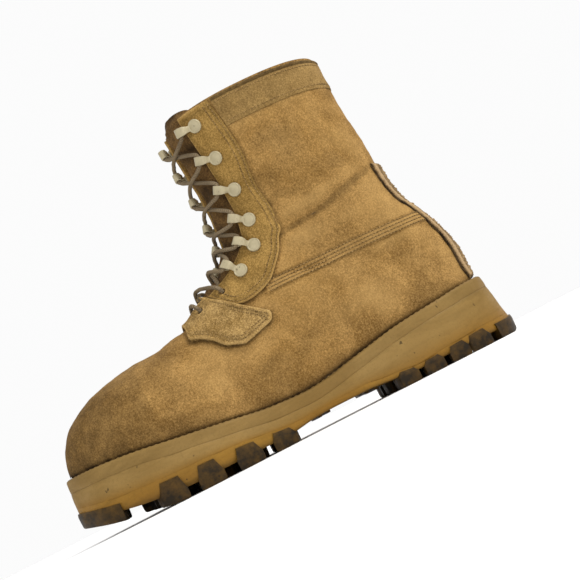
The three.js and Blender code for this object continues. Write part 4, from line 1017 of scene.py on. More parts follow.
def upper_relief(points, arc, side):
    seat = points[:, 2] - seat_at(points[:, 1])
    folds = fold_relief(points, side)
    raised, rows, edge = seam_relief(points)
    waist = np.exp(-(((points[:, 1] - 25) / 45) ** 2))
    tuck = -1.3 * np.exp(-((seat / 1.8) ** 2)) - waist * 1.2 * np.exp(-((seat / 3.5) ** 2))
    bulge = 0.9 * np.exp(-(((seat - 9) / 7) ** 2)) * waist
    uneven = 0.35 * lumps(points, 42, 3) + 0.16 * lumps(points, 15, 4) + 0.05 * lumps(points, 5, 9)
    calm = ease(seat / 10)
    height = folds + vamp_relief(points, arc) + SEAM_STEP * raised - 0.15 * rows + tuck + bulge + uneven * calm
    # Painted shade in the troughs of the folds.
    crease = np.clip(-folds / 3.2, 0, 0.42)
    # Darker along the seat: dirt near the welt and a painted shadow line where the upper tucks in at the waist.
    seat_shade_and_dirt = 0.85 * np.exp(-((seat / (1.2 + 1.8 * waist)) ** 2)) + 0.22 * np.exp(-((seat / 8) ** 2))
    worn = 0.16 * lumps(points, 75, 61) + 0.07 * lumps(points, 30, 62) - 0.05
    # Painted shade falling off towards the toe and vamp and on the top of the shaft's back.
    falloff_shade = 0.6 * ease((-points[:, 1] - 30) / 120) + 0.14 * ease((points[:, 1] - 95) / 20) * ease((points[:, 2] - 120) / 20)
    # Also painted shade along the raised seam band's edge and beside the overlays, and the darker stitch rows.
    shading_and_dirt = seat_shade_and_dirt + crease + 0.1 * rows + 0.35 * edge + overlay_shade(points, side) + falloff_shade
    shading_and_dirt += np.clip(worn, 0, 0.4) * (shading_and_dirt < 0.5)
    # Paler as a painted highlight on the fold ridges and the raised seam band, and in random worn patches.
    ridges = 0.35 * np.clip(raised - 0.3 * rows - 2 * edge, 0, 1)
    pale_and_highlight = 0.25 * np.exp(-(((folds - 1.4) / 0.6) ** 2)) + ridges + np.clip(-1.3 * worn, 0, 0.35)
    return height, np.clip(shading_and_dirt - pale_and_highlight * (shading_and_dirt < 0.3), -0.4, 1)


def make_upper():
    grids = Pile()
    lining = Pile()
    for side in (1, -1):
        edge = np.array([float(throat_edge(row)) for row in UPPER_ROWS])
        ends = [seat_arc(row, side) for row in UPPER_ROWS]
        end = np.array([e[0] for e in ends])
        closed = np.array([e[1] for e in ends])
        share = np.linspace(0, 1, UPPER_COLUMNS)
        arc = side * (edge[:, None] + (end - edge)[:, None] * share)
        row = np.repeat(UPPER_ROWS[:, None], UPPER_COLUMNS, 1)
        points = on_skin(row, arc).reshape(-1, 3)
        normals = skin_normal(row, arc).reshape(-1, 3)
        height, shading_and_dirt = upper_relief(points, arc.ravel(), np.full(len(points), side))
        rim = np.exp(-(((np.abs(arc) - edge[:, None]) / 2.0) ** 2)).ravel() * (row.ravel() > THROAT_ROW + 0.2)
        top = np.clip((row.ravel() - LAST_ROW + 0.25) / 0.25, 0, 1)
        keep = 1 - np.maximum(rim, top)
        points = points + normals * (height * keep)[:, None]
        points = points.reshape(len(UPPER_ROWS), UPPER_COLUMNS, 3)
        if closed.any():
            points[closed, -1, 0] = SECTION["back_x"](UPPER_ROWS[closed])
        grids.add(points.reshape(-1, 3), grid_faces(len(UPPER_ROWS), UPPER_COLUMNS), shading_and_dirt)
        open_rows = np.where(UPPER_ROWS >= THROAT_ROW + 0.02)[0]
        add_rim(grids, UPPER_ROWS[open_rows], side * edge[open_rows], points[open_rows, 0], side)
        add_collar_rim(grids, arc[-1], points[-1])
        inner_share = np.linspace(0, 1, 40)
        inner_arc = side * (edge[:, None] + (end - edge)[:, None] * inner_share)
        inner_row = np.repeat(UPPER_ROWS[:, None], 40, 1)
        inner = on_skin(inner_row, inner_arc) - skin_normal(inner_row, inner_arc) * UPPER_WALL
        if closed.any():
            inner[closed, -1, 0] = SECTION["back_x"](UPPER_ROWS[closed])
        lining.add(inner.reshape(-1, 3), grid_faces(len(UPPER_ROWS), 40))
    toe = on_skin(np.zeros(60), np.linspace(-1, 1, 60) * seat_arc(0, 1)[0])
    # The toe's end cap is darkened like the painted shade round the toe.
    grids.add(toe, cap_faces(0, 60), 0.3)
    grids.piece("upper_leather", SUEDE, replaced=("upper",), slot="suede")
    lining.piece("upper_lining", LINING, slot="lining")


def add_rim(pile, rows, arcs, start, side):
    """Cut edge of the leather along the throat."""
    ring = [start]
    for depth, out in ((0.5, 0.3), (1.3, 0.4), (UPPER_WALL, 0.0)):
        ring.append(on_skin(rows, arcs - side * out) - skin_normal(rows, arcs) * depth)
    # The cut edge is darkened as painted shade where it turns in.
    pile.add(np.stack(ring, 1).reshape(-1, 3), grid_faces(len(rows), len(ring)), 0.35)


def add_collar_rim(pile, arcs, start):
    rows = np.full(len(arcs), float(LAST_ROW))
    ring = [start]
    for depth, rise in ((0.4, 0.7), (1.2, 1.0), (1.9, 0.7), (UPPER_WALL, 0.0)):
        ring.append(on_skin(rows, arcs) - skin_normal(rows, arcs) * depth + np.array([0, 0, rise]))
    # The collar's rim is darkened as painted shade where it turns in to the lining.
    pile.add(np.stack(ring, 1).reshape(-1, 3), grid_faces(len(arcs), len(ring)), 0.45)


# Overlays

PATCH_SPACING = 1.7


# Walls of one and of three layers of leather. Columns: share of the height, outwards, mark
# Marks: pale raw edges on top; dark, as painted shade, in the set-back grooves between layers and along the foot where
# the wall meets the upper.
PLAIN_WALL = [(0.55, 0.12, -0.5), (0.1, 0.1, 0.5), (0.0, 0.1, 0.9)]
LAYERED_WALL = [
    (0.72, 0.1, -0.4), (0.68, -0.35, 0.9), (0.62, -0.35, 0.9), (0.58, 0.3, 0.1), (0.4, 0.35, -0.3),
    (0.36, -0.3, 0.95), (0.3, -0.3, 0.95), (0.26, 0.4, 0.2), (0.06, 0.45, 0.1), (0.0, 0.4, 0.9),
]


def patch(name, border, lift, thickness, material, node_name, slot, hole, bevel, wobble, seed, walls, flush=None):
    """Leather piece laid on the upper. border: (row, arc) round it; hole: (row, arc, radius);
    flush: heights between which its edge sinks into the upper, and the number of border places it counts for."""
    holes = [hole]
    scale = 12.0
    flat = np.column_stack([border[:, 0] * scale, border[:, 1]])
    flat = densify(flat, 1.1, closed=True)
    loops = [flat]
    for row, arc, radius in holes:
        turn = np.linspace(0, 2 * np.pi, 20, endpoint=False)
        per_row = np.linalg.norm(on_skin(row + 0.1, arc) - on_skin(row - 0.1, arc)) / 0.2
        loops.append(np.column_stack([(row + radius * np.cos(turn) / per_row) * scale, arc + radius * np.sin(turn)]))
    low, high = flat.min(0), flat.max(0)
    xs = np.arange(low[0], high[0], PATCH_SPACING)
    ys = np.arange(low[1], high[1], PATCH_SPACING)
    inner = np.array([(x, y) for x in xs for y in ys])
    edge_lines = [np.vstack([loop, loop[:1]]) for loop in loops]
    gap = np.min([line_distance(inner, line)[0] for line in edge_lines], axis=0)
    inside = point_in(inner, flat)
    for loop in loops[1:]:
        inside &= ~point_in(inner, loop)
    inner = inner[inside & (gap > 0.9)]
    rims = []
    for loop in loops:
        chord = np.roll(loop, -1, 0) - np.roll(loop, 1, 0)
        normal = np.column_stack([-chord[:, 1], chord[:, 0]])
        normal /= np.maximum(np.linalg.norm(normal, axis=1), 1e-9)[:, None]
        for sign in (1, -1):
            moved = loop + sign * normal * 0.45
            good = point_in(moved, flat)
            for other in loops[1:]:
                good &= ~point_in(moved, other)
            rims.append(moved[good])
    free = np.vstack([inner, *rims])
    places = np.vstack([*loops, free])
    edges, start = [], 0
    for loop in loops:
        count = len(loop)
        edges += [(start + k, start + (k + 1) % count) for k in range(count)]
        start += count
    result = delaunay_2d_cdt([Vector(p) for p in places], edges, [], 0, 1e-4)
    flat_points = np.array([tuple(v) for v in result[0]])
    faces = [f for f in result[2]]
    centres = np.array([flat_points[list(f)].mean(0) for f in faces])
    keep = point_in(centres, flat)
    for loop in loops[1:]:
        keep &= ~point_in(centres, loop)
    faces = [f for f, good in zip(faces, keep) if good]
    row = np.clip(flat_points[:, 0] / scale, 0, LAST_ROW)
    arc = flat_points[:, 1]
    gap = np.min([line_distance(flat_points, line)[0] for line in edge_lines], axis=0)
    drop = bevel * (1 - np.sqrt(1 - (1 - np.clip(gap / bevel, 0, 1)) ** 2))
    base = on_skin(row, arc)
    sunk = np.zeros(len(gap))
    if flush:
        rear = np.column_stack([border[:flush[2], 0] * scale, border[:flush[2], 1]])
        near = np.exp(-((line_distance(flat_points, rear)[0] / 4.5) ** 2))
        sunk = near * ease((base[:, 2] - flush[0]) / (flush[1] - flush[0]))
        drop = np.minimum(drop + 0.8 * thickness * sunk, thickness - 0.15)
    out = skin_normal(row, arc)
    height = lift + thickness - drop + wobble * lumps(base, 14, seed) * ease(gap / 4)
    top = base + out * height[:, None]
    count = len(top)
    pile = Pile()
    marks = 0.35 * np.exp(-(((gap - 2.2) / 1.2) ** 2)) - 0.55 * np.exp(-((gap / 0.6) ** 2)) * (1 - sunk)
    marks += 0.08 + 0.3 * np.exp(-((gap / 0.8) ** 2)) * sunk
    used = {(a, b) for face in faces for a, b in zip(face, (*face[1:], face[0]))}
    rim = [(a, b) for a, b in used if (b, a) not in used]
    outward = np.zeros_like(top)
    for a, b in rim:
        away = np.cross(top[b] - top[a], out[a])
        away /= max(np.linalg.norm(away), 1e-9)
        outward[a] += away
        outward[b] += away
    outward /= np.maximum(np.linalg.norm(outward, axis=1), 1e-9)[:, None]
    points, faces, shades = [top], list(faces), [marks]
    ragged = lumps(base, 3, seed + 1)
    for level, (share, away, mark) in enumerate(walls, 1):
        high = np.minimum(height, lift + thickness - bevel * (1 - sunk))
        low = 0.02 + share * (high - 0.02)
        points.append(base + out * low[:, None] + outward * (away * (1 + 0.4 * ragged))[:, None])
        shades.append(lerp(mark, 0.6, sunk))
        above, below = (level - 1) * count, level * count
        faces += [(b + above, a + above, a + below, b + below) for a, b in rim]
    pile.add(np.vstack(points), faces, np.concatenate(shades))
    return pile.piece(name, material, replaced=(node_name,), slot=slot)


def point_in(points, loop):
    """Which points lie inside a closed outline."""
    inside = np.zeros(len(points), bool)
    x, y = points[:, 0], points[:, 1]
    for (ax, ay), (bx, by) in zip(loop, np.roll(loop, -1, 0)):
        crosses = (ay > y) != (by > y)
        with np.errstate(divide="ignore", invalid="ignore"):
            at = (bx - ax) * (y - ay) / (by - ay) + ax
        inside ^= crosses & (x < at)
    return inside


def facing_rows():
    """Rows of the lace stations, at shares of the facing's length."""
    rows = np.linspace(THROAT_ROW, LAST_ROW, 81)
    line = on_skin(rows, throat_half(rows) + HOOK_SETBACK)
    walked = np.concatenate([[0], np.cumsum(np.linalg.norm(np.diff(line, axis=0), axis=1))])
    return np.interp(np.array(LACE_STATIONS) * walked[-1], walked, rows)


LACE_ROWS = facing_rows()
HOLES = [(LACE_ROWS[k], throat_half(LACE_ROWS[k]) + HOLE_SETBACK) for k in range(HOLE_COUNT)]


def eyestay_border(side):
    rear = find_on_skin(densify(rounded(cut_points(EYESTAY_REAR), 6), 2.0), side)
    foot_row = float(rear[-1, 0])
    rows = np.linspace(foot_row, rear[0, 0], 60)
    front = np.column_stack([rows, side * (throat_half(rows) + 0.3)])
    return np.vstack([rear, front]), rear


def tab_border(side):
    edge = find_on_skin(densify(cut_points(TAB_EDGE), 2.0), side)
    last = float(edge[-1, 0])
    rows = np.linspace(last, THROAT_ROW + 0.02, 20)
    front = np.column_stack([rows, side * np.maximum(throat_edge(rows) + 0.3, 0.6)])
    first = edge[0]
    lead = np.column_stack([np.linspace(THROAT_ROW, first[0], 4)[1:-1], np.full(2, side * 0.6)])
    return np.vstack([edge, front, lead]), edge


def make_facings():
    lines = {}
    for side, word in ((1, "medial"), (-1, "lateral")):
        border, rear = eyestay_border(side)
        tab_loop, tab_edge = tab_border(side)
        upper_hole = (HOLES[1][0], side * HOLES[1][1], HOLE_DIAMETER / 2)
        lower_hole = (HOLES[0][0], side * HOLES[0][1], HOLE_DIAMETER / 2)
        patch(f"eyestay_{word}_leather", border, GAP, EYESTAY_THICKNESS, FACING, f"eyestay_{word}",
              "facing_suede", upper_hole, bevel=0.5, wobble=0.25, seed=21 + side, walls=PLAIN_WALL,
              flush=(126, 146, len(rear)))
        patch(f"tab_{word}_leather", tab_loop, GAP, TAB_THICKNESS, TAB, f"tab_{word}",
              "facing_suede", lower_hole, bevel=0.5, wobble=0.4, seed=31 + side, walls=LAYERED_WALL)
        lines[side] = (rear, tab_edge)
    return lines


def row_at_height(arc_share, side, height):
    """Row at which the surface, at a share of its half girth, has a height."""
    rows = np.linspace(THROAT_ROW + 6, LAST_ROW, 200)
    z = on_skin(rows, side * arc_share * girth(rows, side))[:, 2]
    return float(np.interp(height, z, rows))


def band_columns():
    """Stations round the collar from the medial eyestay by the back to the lateral one."""
    columns = []
    for side in (1, -1):
        start = find_on_skin([(upper_y(BAND_FRONT), lerp(INSTEP_HEIGHT, BOOT_HEIGHT, 0.9))], side)[0]
        share = abs(start[1]) / float(girth(start[0], side))
        shares = np.linspace(share, 1, 70)
        columns.append([(side, s) for s in shares])
    return columns[0] + columns[1][::-1][1:]


def make_band():
    low = lerp(INSTEP_HEIGHT, BOOT_HEIGHT, BAND_LOW)
    high = lerp(INSTEP_HEIGHT, BOOT_HEIGHT, BAND_HIGH)
    columns = band_columns()
    profile = [(0, 0.02), (0, 0.45), (0.4, 0.7), (1.5, 0.85), (4, 1.1), (8, 1.3), (12, 1.4), (16, 1.5)]
    tall = high - low
    profile += [(tall - 2.6, 1.6), (tall - 2.0, 1.2), (tall - 1.5, 1.7), (tall - 0.7, 2.1), (tall, 1.7), (tall + 0.4, 0.9)]
    profile += [(tall + 0.4, 0.02)]
    points, marks = [], []
    for k, (side, share) in enumerate(columns):
        end = min(k, len(columns) - 1 - k)
        taper = min(1, 0.4 + 0.3 * end)
        for rise, out in profile:
            row = row_at_height(share, side, low + rise)
            arc = side * share * float(girth(row, side))
            n = skin_normal(row, arc)
            points.append(on_skin(row, arc) + n * (GAP * 0.5 + (out - 0.3) * taper))
            # Darker top roll, painted shade at the gap to the lining, and a painted shadow line along the lower edge;
            # slightly darker elsewhere.
            marks.append(0.75 if rise > tall - 2.2 else 0.5 if rise < 0.2 else 0.08)
    points = np.array(points)
    points += 0.15 * lumps(points, 12, 8)[:, None] * np.array([1, 1, 0])
    pile = Pile()
    pile.add(points, grid_faces(len(columns), len(profile)), np.array(marks))
    pile.piece("collar_band_leather", BAND, replaced=("collar_band",), slot="collar_suede")


# Profile of the backstay. Columns: share of half the width, height, mark, fuzz
# Marks: dark on the outer wall and in the groove inside the bead, as painted shade; the bead itself is pale.
STRIP_PROFILE = [
    (1.0, 0.02, 1.0, 0.0), (1.0, 0.55, 0.95, 0.0), (0.99, 0.7, 0.3, 0.05), (0.96, 0.95, -0.5, 0.12),
    (0.92, 1.0, -0.7, 0.12), (0.87, 1.0, -0.6, 0.15), (0.83, 0.85, -0.2, 0.2), (0.8, 0.65, 0.6, 0.15),
    (0.76, 0.75, 0.25, 0.4), (0.7, 0.85, 0.2, 0.45), (0.63, 0.9, 0.15, 0.45), (0.55, 0.9, 0.2, 0.45),
    (0.46, 0.9, 0.1, 0.45), (0.37, 0.9, 0.2, 0.45), (0.28, 0.9, 0.1, 0.45), (0.19, 0.9, 0.2, 0.45),
    (0.1, 0.9, 0.15, 0.45),
]


def make_backstay():
    draw = np.random.default_rng(5)
    centre = (0.0, 0.85, 0.15, 0.3)
    profile = [(-share, *rest) for share, *rest in STRIP_PROFILE] + [centre] + STRIP_PROFILE[::-1]
    zs = np.linspace(BACKSTAY_LOW - 2.5, BACKSTAY_HIGH, 155)
    points, marks = [], []
    wander = np.interp(zs, zs[::5], draw.normal(0, 0.2, len(zs[::5])))
    spots = [(share * BACKSTAY_WIDTH / 2, z, 0.0) for z in zs for share, *_ in profile]
    tufts = lumps(np.array(spots), 3.5, 71).reshape(len(zs), len(profile))
    for i, z in enumerate(zs):
        end = min(i, len(zs) - 1 - i)
        closing = float(ease((end + 0.3) / 3))
        for k, (share, high, mark, fuzz) in enumerate(profile):
            x = share * (BACKSTAY_WIDTH / 2 - 0.9) + (wander[i] if abs(share) > 0.8 else 0)
            place, n = BACK_MAP(x, z)
            rough = np.clip(draw.normal(0, fuzz) * 0.7 + 0.8 * tufts[i, k] * fuzz, -0.7, 1.1)
            height = GAP + BACKSTAY_THICKNESS * high * lerp(0.25, 1, closing) + rough * closing
            points.append(place + n * max(height, 0.02))
            # Darker at the strip's two ends, painted shade where it meets the upper; raised tufts painted lighter and
            # low ones darker, as painted light and shade.
            marks.append(mark + (0.5 if end < 2 else 0) - 0.5 * rough)
    pile = Pile()
    faces = grid_faces(len(zs), len(profile))
    pile.add(np.array(points), faces, np.clip(np.array(marks), -0.6, 1))
    pile.piece("backstay_strip", STRIP, replaced=("backstay",), slot="backstay_webbing")


def back_map():
    """Looks up the heel's back surface by width and height."""
    half = CHART_SIDE
    picks = []
    for columns in (np.arange(int(1.55 * half), 2 * half + 1), np.arange(0, int(0.45 * half))):
        rows = np.arange(17 * CHART_STEPS, len(CHART))
        picks.append((CHART[np.ix_(rows, columns)].reshape(-1, 3), CHART_NORMALS[np.ix_(rows, columns)].reshape(-1, 3)))
    points = np.vstack([p[0] for p in picks])
    normals = np.vstack([p[1] for p in picks])
    tree = kdtree.KDTree(len(points))
    for index, p in enumerate(points):
        tree.insert((p[0], p[2], 0), index)
    tree.balance()

    def at(x, z):
        near = tree.find_n((x, z, 0), 8)
        index = [n[1] for n in near]
        weight = np.array([1 / (n[2] + 0.3) for n in near])
        weight /= weight.sum()
        place = (points[index] * weight[:, None]).sum(0)
        normal = (normals[index] * weight[:, None]).sum(0)
        place[0], place[2] = x, z
        return place, normal / np.linalg.norm(normal)

    return at


BACK_MAP = back_map()


# Stitches

# Columns: share of the length, fullness, mark
# The ends, where the thread sinks into the leather, are darkened as painted shade.
STITCH_RING = [(0.0, 0.45, 1.0), (0.12, 0.7, 0.95), (0.3, 1.0, 0.0), (0.7, 1.0, 0.0), (0.88, 0.7, 0.95), (1.0, 0.45, 1.0)]


def stitches(pile, line, normals, pitch, length, width, lift):
    """Row of stitches along a line on the surface."""
    walked = np.concatenate([[0], np.cumsum(np.linalg.norm(np.diff(line, axis=0), axis=1))])
    centres = np.arange(pitch / 2, walked[-1], pitch)

    def at(distance, table):
        return np.array([np.interp(distance, walked, table[:, k]) for k in range(3)])

    for centre in centres:
        a, b = at(centre - length / 2, line), at(centre + length / 2, line)
        n = at(centre, normals)
        n /= np.linalg.norm(n)
        along = b - a
        size = np.linalg.norm(along)
        if size < 0.2 * length:
            continue
        side = np.cross(n, along / size)
        points, ends = [], []
        for share, full, mark in STITCH_RING:
            middle = a + along * share + n * (lift + width * 0.35 * (full - 0.3) - 0.1)
            ends.extend([mark] * 6)
            for turn in np.linspace(0, 2 * np.pi, 6, endpoint=False):
                radius = width / 2 * max(full, 0.25)
                points.append(middle + side * radius * math.cos(turn) + n * radius * 0.7 * math.sin(turn))
        faces = grid_faces(len(STITCH_RING), 6, wrap=True)
        faces += [tuple(range(5, -1, -1)), tuple(range(30, 36))]
        pile.add(points, faces, np.array(ends))


def surface_line(places, lift=0.0):
    line = on_skin(places[:, 0], places[:, 1])
    return line + skin_normal(places[:, 0], places[:, 1]) * lift, skin_normal(places[:, 0], places[:, 1])


def inset_line(places, side, distance):
    """Line on the skin beside another, moved towards its left or right."""
    line, normals = surface_line(places)
    along = np.gradient(line, axis=0)
    across = np.cross(normals, along)
    across /= np.maximum(np.linalg.norm(across, axis=1), 1e-9)[:, None]
    return line + across * distance * side, normals


def collar_line(height):
    """Line round the collar at a height, with its normals."""
    places = []
    for side, share in band_columns()[1:-1]:
        row = row_at_height(share, side, height)
        places.append((row, side * share * float(girth(row, side))))
    return surface_line(np.array(places))


def make_stitches(facing_lines):
    pile = Pile()
    for side in (1, -1):
        for share in SEAM_ROWS:
            ys = np.linspace(upper_y(0.447), upper_y(0.045), 90)
            high = np.interp(-ys, -SEAM_HIGH_LINE[:, 0], SEAM_HIGH_LINE[:, 1])
            low = np.interp(-ys, -SEAM_LOW_LINE[:, 0], SEAM_LOW_LINE[:, 1])
            places = find_on_skin(np.column_stack([ys, lerp(low, high, share)]), side)
            line, normals = surface_line(places)
            height, _ = upper_relief(line, places[:, 1], np.full(len(line), side))
            stitches(pile, line + normals * height[:, None], normals, 2.5, 2.2, 0.95, 0.1)
        rear, tab_edge = facing_lines[side]
        for distance in (1.7, 5.2):
            line, normals = inset_line(rear[1:-6], -side, distance)
            sunk = ease((line[:, 2] - 126) / 20) * math.exp(-((distance / 4.5) ** 2))
            top = (GAP + EYESTAY_THICKNESS * (1 - 0.8 * sunk))[:, None]
            stitches(pile, line + normals * top, normals, 2.6, 2.2, 0.8, 0.05)
        for distance in (2.6, 5.0):
            line, normals = inset_line(tab_edge[5:-7], side, distance)
            stitches(pile, line + normals * (GAP + TAB_THICKNESS), normals, 3.0, 2.0, 0.8, 0.1)
    for share, lift in ((BAND_LOW + 0.022, 0.8), (BAND_HIGH - 0.03, 1.35)):
        height = lerp(INSTEP_HEIGHT, BOOT_HEIGHT, share)
        line, normals = collar_line(height)
        stitches(pile, line + normals * lift, normals, 3.0, 2.4, 0.75, 0.05)
    pile.piece("upper_stitches", THREAD)
    welt = Pile()
    ring = sole_ring(WELT_MARGIN - 1.9, 1, seat_at)
    closed = np.vstack([ring, ring[:1]])
    stitches(welt, closed, np.tile([0.0, 0.0, 1.0], (len(closed), 1)), 4.2, 3.2, 0.8, 0.0)
    welt.piece("welt_stitches", THREAD)


# Tongue

def make_tongue():
    foot = THROAT_ROW - TONGUE_FOOT_ROWS
    rows = np.linspace(foot, LAST_ROW, 110)
    rises = np.zeros(110)
    extra = np.linspace(0, 1, 28)[1:]
    rows = np.concatenate([rows, np.full(len(extra), float(LAST_ROW))])
    rises = np.concatenate([rises, TONGUE_TOP * np.sin(extra * np.pi / 2)])
    across = np.linspace(-1, 1, 41)
    rings, marks = [], []
    for row, rise in zip(rows, rises):
        flare = lerp(TONGUE_FOOT, 1, min((row - foot) / TONGUE_FLARE_ROWS, 1))
        above = rise / TONGUE_TOP
        half = TONGUE_WIDTH / 2 * flare * math.sqrt(1 - 0.95 * above**2) - 0.3
        arc = across * half
        row_array = np.full(len(arc), row)
        n = skin_normal(row_array, arc)
        base = on_skin(row_array, arc)
        depth = UPPER_WALL + TONGUE_CLEARANCE
        spot = base + np.array([0, 0, rise])
        ripple = 0.8 * lumps(spot, 19, 12) + 0.4 * lumps(spot, 8, 13)
        middle = (1 - (across * 1.25) ** 2).clip(0, 1)
        fold = 0.9 * math.sin(row * 2.1 + rise * 0.5)
        pad = np.clip(2.6 + ripple + fold, 0.2, 4.8) * middle * (1 - 0.6 * above)
        pad *= ease((row - THROAT_ROW - 0.5) / 1.6)
        front = base - n * (depth - pad)[:, None]
        back = base - n * (depth + TONGUE_THICKNESS * (1 - 0.6 * np.abs(across) ** 6))[:, None]
        lift = np.array([0, 0, 1.0]) * rise
        rings.append(np.vstack([front + lift, (back + lift)[::-1]]))
        # Front darker in the dips of its padding, as painted shade; the back darker all over.
        marks.append(np.concatenate([np.clip(0.3 - 0.35 * (ripple + fold), 0, 0.8), np.full(len(across), 0.4)]))
    pile = Pile()
    count = len(rings[0])
    faces = grid_faces(len(rings), count, wrap=True)
    faces += cap_faces(0, count, True) + cap_faces((len(rings) - 1) * count, count)
    pile.add(np.vstack(rings), faces, np.concatenate(marks))
    pile.piece("tongue_leather", TONGUE, replaced=("tongue",), slot="tongue_suede")


# Hooks and lace

def lace_frame(row, arc):
    """Place on the skin with directions towards the throat, outwards and up the throat."""
    origin = on_skin(row, arc)
    out = skin_normal(row, arc)
    medial = on_skin(row, arc + 0.5) - on_skin(row, arc - 0.5)
    medial -= out * (medial @ out)
    medial /= np.linalg.norm(medial)
    ridge = medial * (-1 if arc > 0 else 1)
    return origin, ridge, out, np.cross(out, medial)


FACING_TOP = GAP + EYESTAY_THICKNESS + HOOK_SEAT_GAP
LACE_SEAT = HOOK_REACH - HOOK_PLATE - LACE_CLEARANCE - LACE_DIAMETER / 2
LACE_LIFT = HOOK_PLATE + LACE_CLEARANCE + LACE_DIAMETER / 2
LACE_MIDDLE = 5.3
LACE_OVER = 1.5


def hook_line():
    """Centre line of a hook's arm: out from the cap, over the lace and back under it."""
    low = HOOK_PLATE / 2
    high = HOOK_PLATE * 1.5 + LACE_DIAMETER + 2 * LACE_CLEARANCE
    end = HOOK_REACH - HOOK_PLATE / 2
    bend = (high - low) / 2
    points = [(1.0, low), (3.4, low + 0.25), (4.9, low + 1.5), (6.2, high - 1.1), (7.8, high - 0.1), (9.4, high)]
    for angle in np.linspace(np.pi / 2, -np.pi / 2, 9):
        points.append((end - bend + bend * math.cos(angle), (low + high) / 2 + bend * math.sin(angle)))
    points.append((8.6, low))
    return densify(rounded(points, 4), 0.55)


def make_hook(word, number, row, arc):
    origin, ridge, out, up = lace_frame(row, arc)
    line = hook_line()
    along = np.gradient(line, axis=0)
    along /= np.linalg.norm(along, axis=1)[:, None]
    pile = Pile()
    rings = []
    share = np.linspace(0, 1, len(line))
    for (x, y), (dx, dy), s in zip(line, along, share):
        width = HOOK_WIDTH / 2 * (0.72 + 0.36 * ease((s - 0.18) / 0.25)) * (1 - 0.35 * ease((s - 0.86) / 0.14))
        centre = origin + ridge * x + out * (y + FACING_TOP)
        normal = -ridge * dy + out * dx
        ring = []
        for u, v in ((1, 0.35), (0.9, 0.5), (-0.9, 0.5), (-1, 0.35), (-1, -0.35), (-0.9, -0.5), (0.9, -0.5), (1, -0.35)):
            ring.append(centre + up * u * width + normal * v * HOOK_PLATE)
        rings.append(np.array(ring))
    faces = grid_faces(len(rings), 8, wrap=True)
    faces += [tuple(range(7, -1, -1)), tuple(range(8 * (len(rings) - 1), 8 * len(rings)))]
    pile.add(np.vstack(rings), faces)
    radius = HOOK_CAP_DIAMETER / 2
    profile = [
        (0.96, 0.0), (1.0, 0.15), (1.0, 0.6), (0.97, 0.86), (0.9, 0.98), (0.82, 0.92), (0.78, 0.82),
        (0.7, 0.88), (0.5, 0.98), (0.25, 1.04),
    ]
    turns = np.linspace(0, 2 * np.pi, 36, endpoint=False)
    cap = []
    for share_out, rise in profile:
        for turn in turns:
            flat = ridge * math.cos(turn) + up * math.sin(turn)
            cap.append(origin + flat * radius * share_out + out * (FACING_TOP - 0.35 + HOOK_CAP_HEIGHT * rise * 1.15))
    faces = grid_faces(len(profile), 36, wrap=True)
    faces.append(tuple(range(36 * (len(profile) - 1), 36 * len(profile))))
    faces.append(tuple(range(35, -1, -1)))
    pile.add(cap, faces)
    piece = pile.piece(f"hook_{word}_{number}_metal", METAL, replaced=(f"hook_{word}_{number}",), slot="hook_enamel")
    return piece


def make_hooks():
    for word, side in (("medial", 1), ("lateral", -1)):
        for k, row in enumerate(LACE_ROWS[HOLE_COUNT:]):
            make_hook(word, k + 1, row, side * float(throat_half(row) + HOOK_SETBACK))


def lace_lift(level):
    overlay = TAB_THICKNESS if level == 0 else EYESTAY_THICKNESS
    return 2 * GAP + overlay + LACE_REST + LACE_DIAMETER / 2


def lace_middle(level, after):
    """Place of a crossing over the middle of the tongue."""
    row = (LACE_ROWS[level] + LACE_ROWS[after]) / 2
    return on_skin(row, 0.01) + skin_normal(row, 0.01) * LACE_MIDDLE


def lace_path(first_side):
    """One half of the lace: from the middle of the lowest bar through its holes and up through the hooks."""
    points = [lace_middle(0, 0) - skin_normal(LACE_ROWS[0], 0.01) * 0.6]
    for level, row in enumerate(LACE_ROWS):
        side = first_side if level % 2 == 0 else -first_side
        hole = level < HOLE_COUNT
        half = float(throat_half(row))
        arc = side * (half + (HOLE_SETBACK if hole else HOOK_SETBACK))
        origin, ridge, out, up = lace_frame(row, arc)
        if level > 0:
            middle = lace_middle(level - 1, level)
            over = LACE_OVER * (1 if (first_side > 0) == (level % 2 == 0) else -1)
            points.append(middle + skin_normal(row, 0.01) * over)
        if hole:
            lift = lace_lift(level)
            points.append(origin + ridge * 3.2 + out * (lift + 0.1) - up * 0.8)
            points.append(origin + ridge * 0.5 + out * (lift - 1.4))
            points.append(origin + out * (-1.0) + up * 0.3)
            points.append(origin + ridge * 2.0 + out * (-3.6) + up * 1.6)
            points.append(origin + ridge * (HOLE_SETBACK + 1.5) + out * (-1.6) + up * 4.0)
        else:
            seat = origin + out * (FACING_TOP + LACE_LIFT) + ridge * LACE_SEAT
            reach = HOOK_WIDTH / 2 + LACE_RUN_OUT * 0.4
            points.append(seat - up * reach + ridge * 0.25)
            points.append(seat)
            points.append(seat + up * reach + ridge * 0.25)
    return np.array(points)


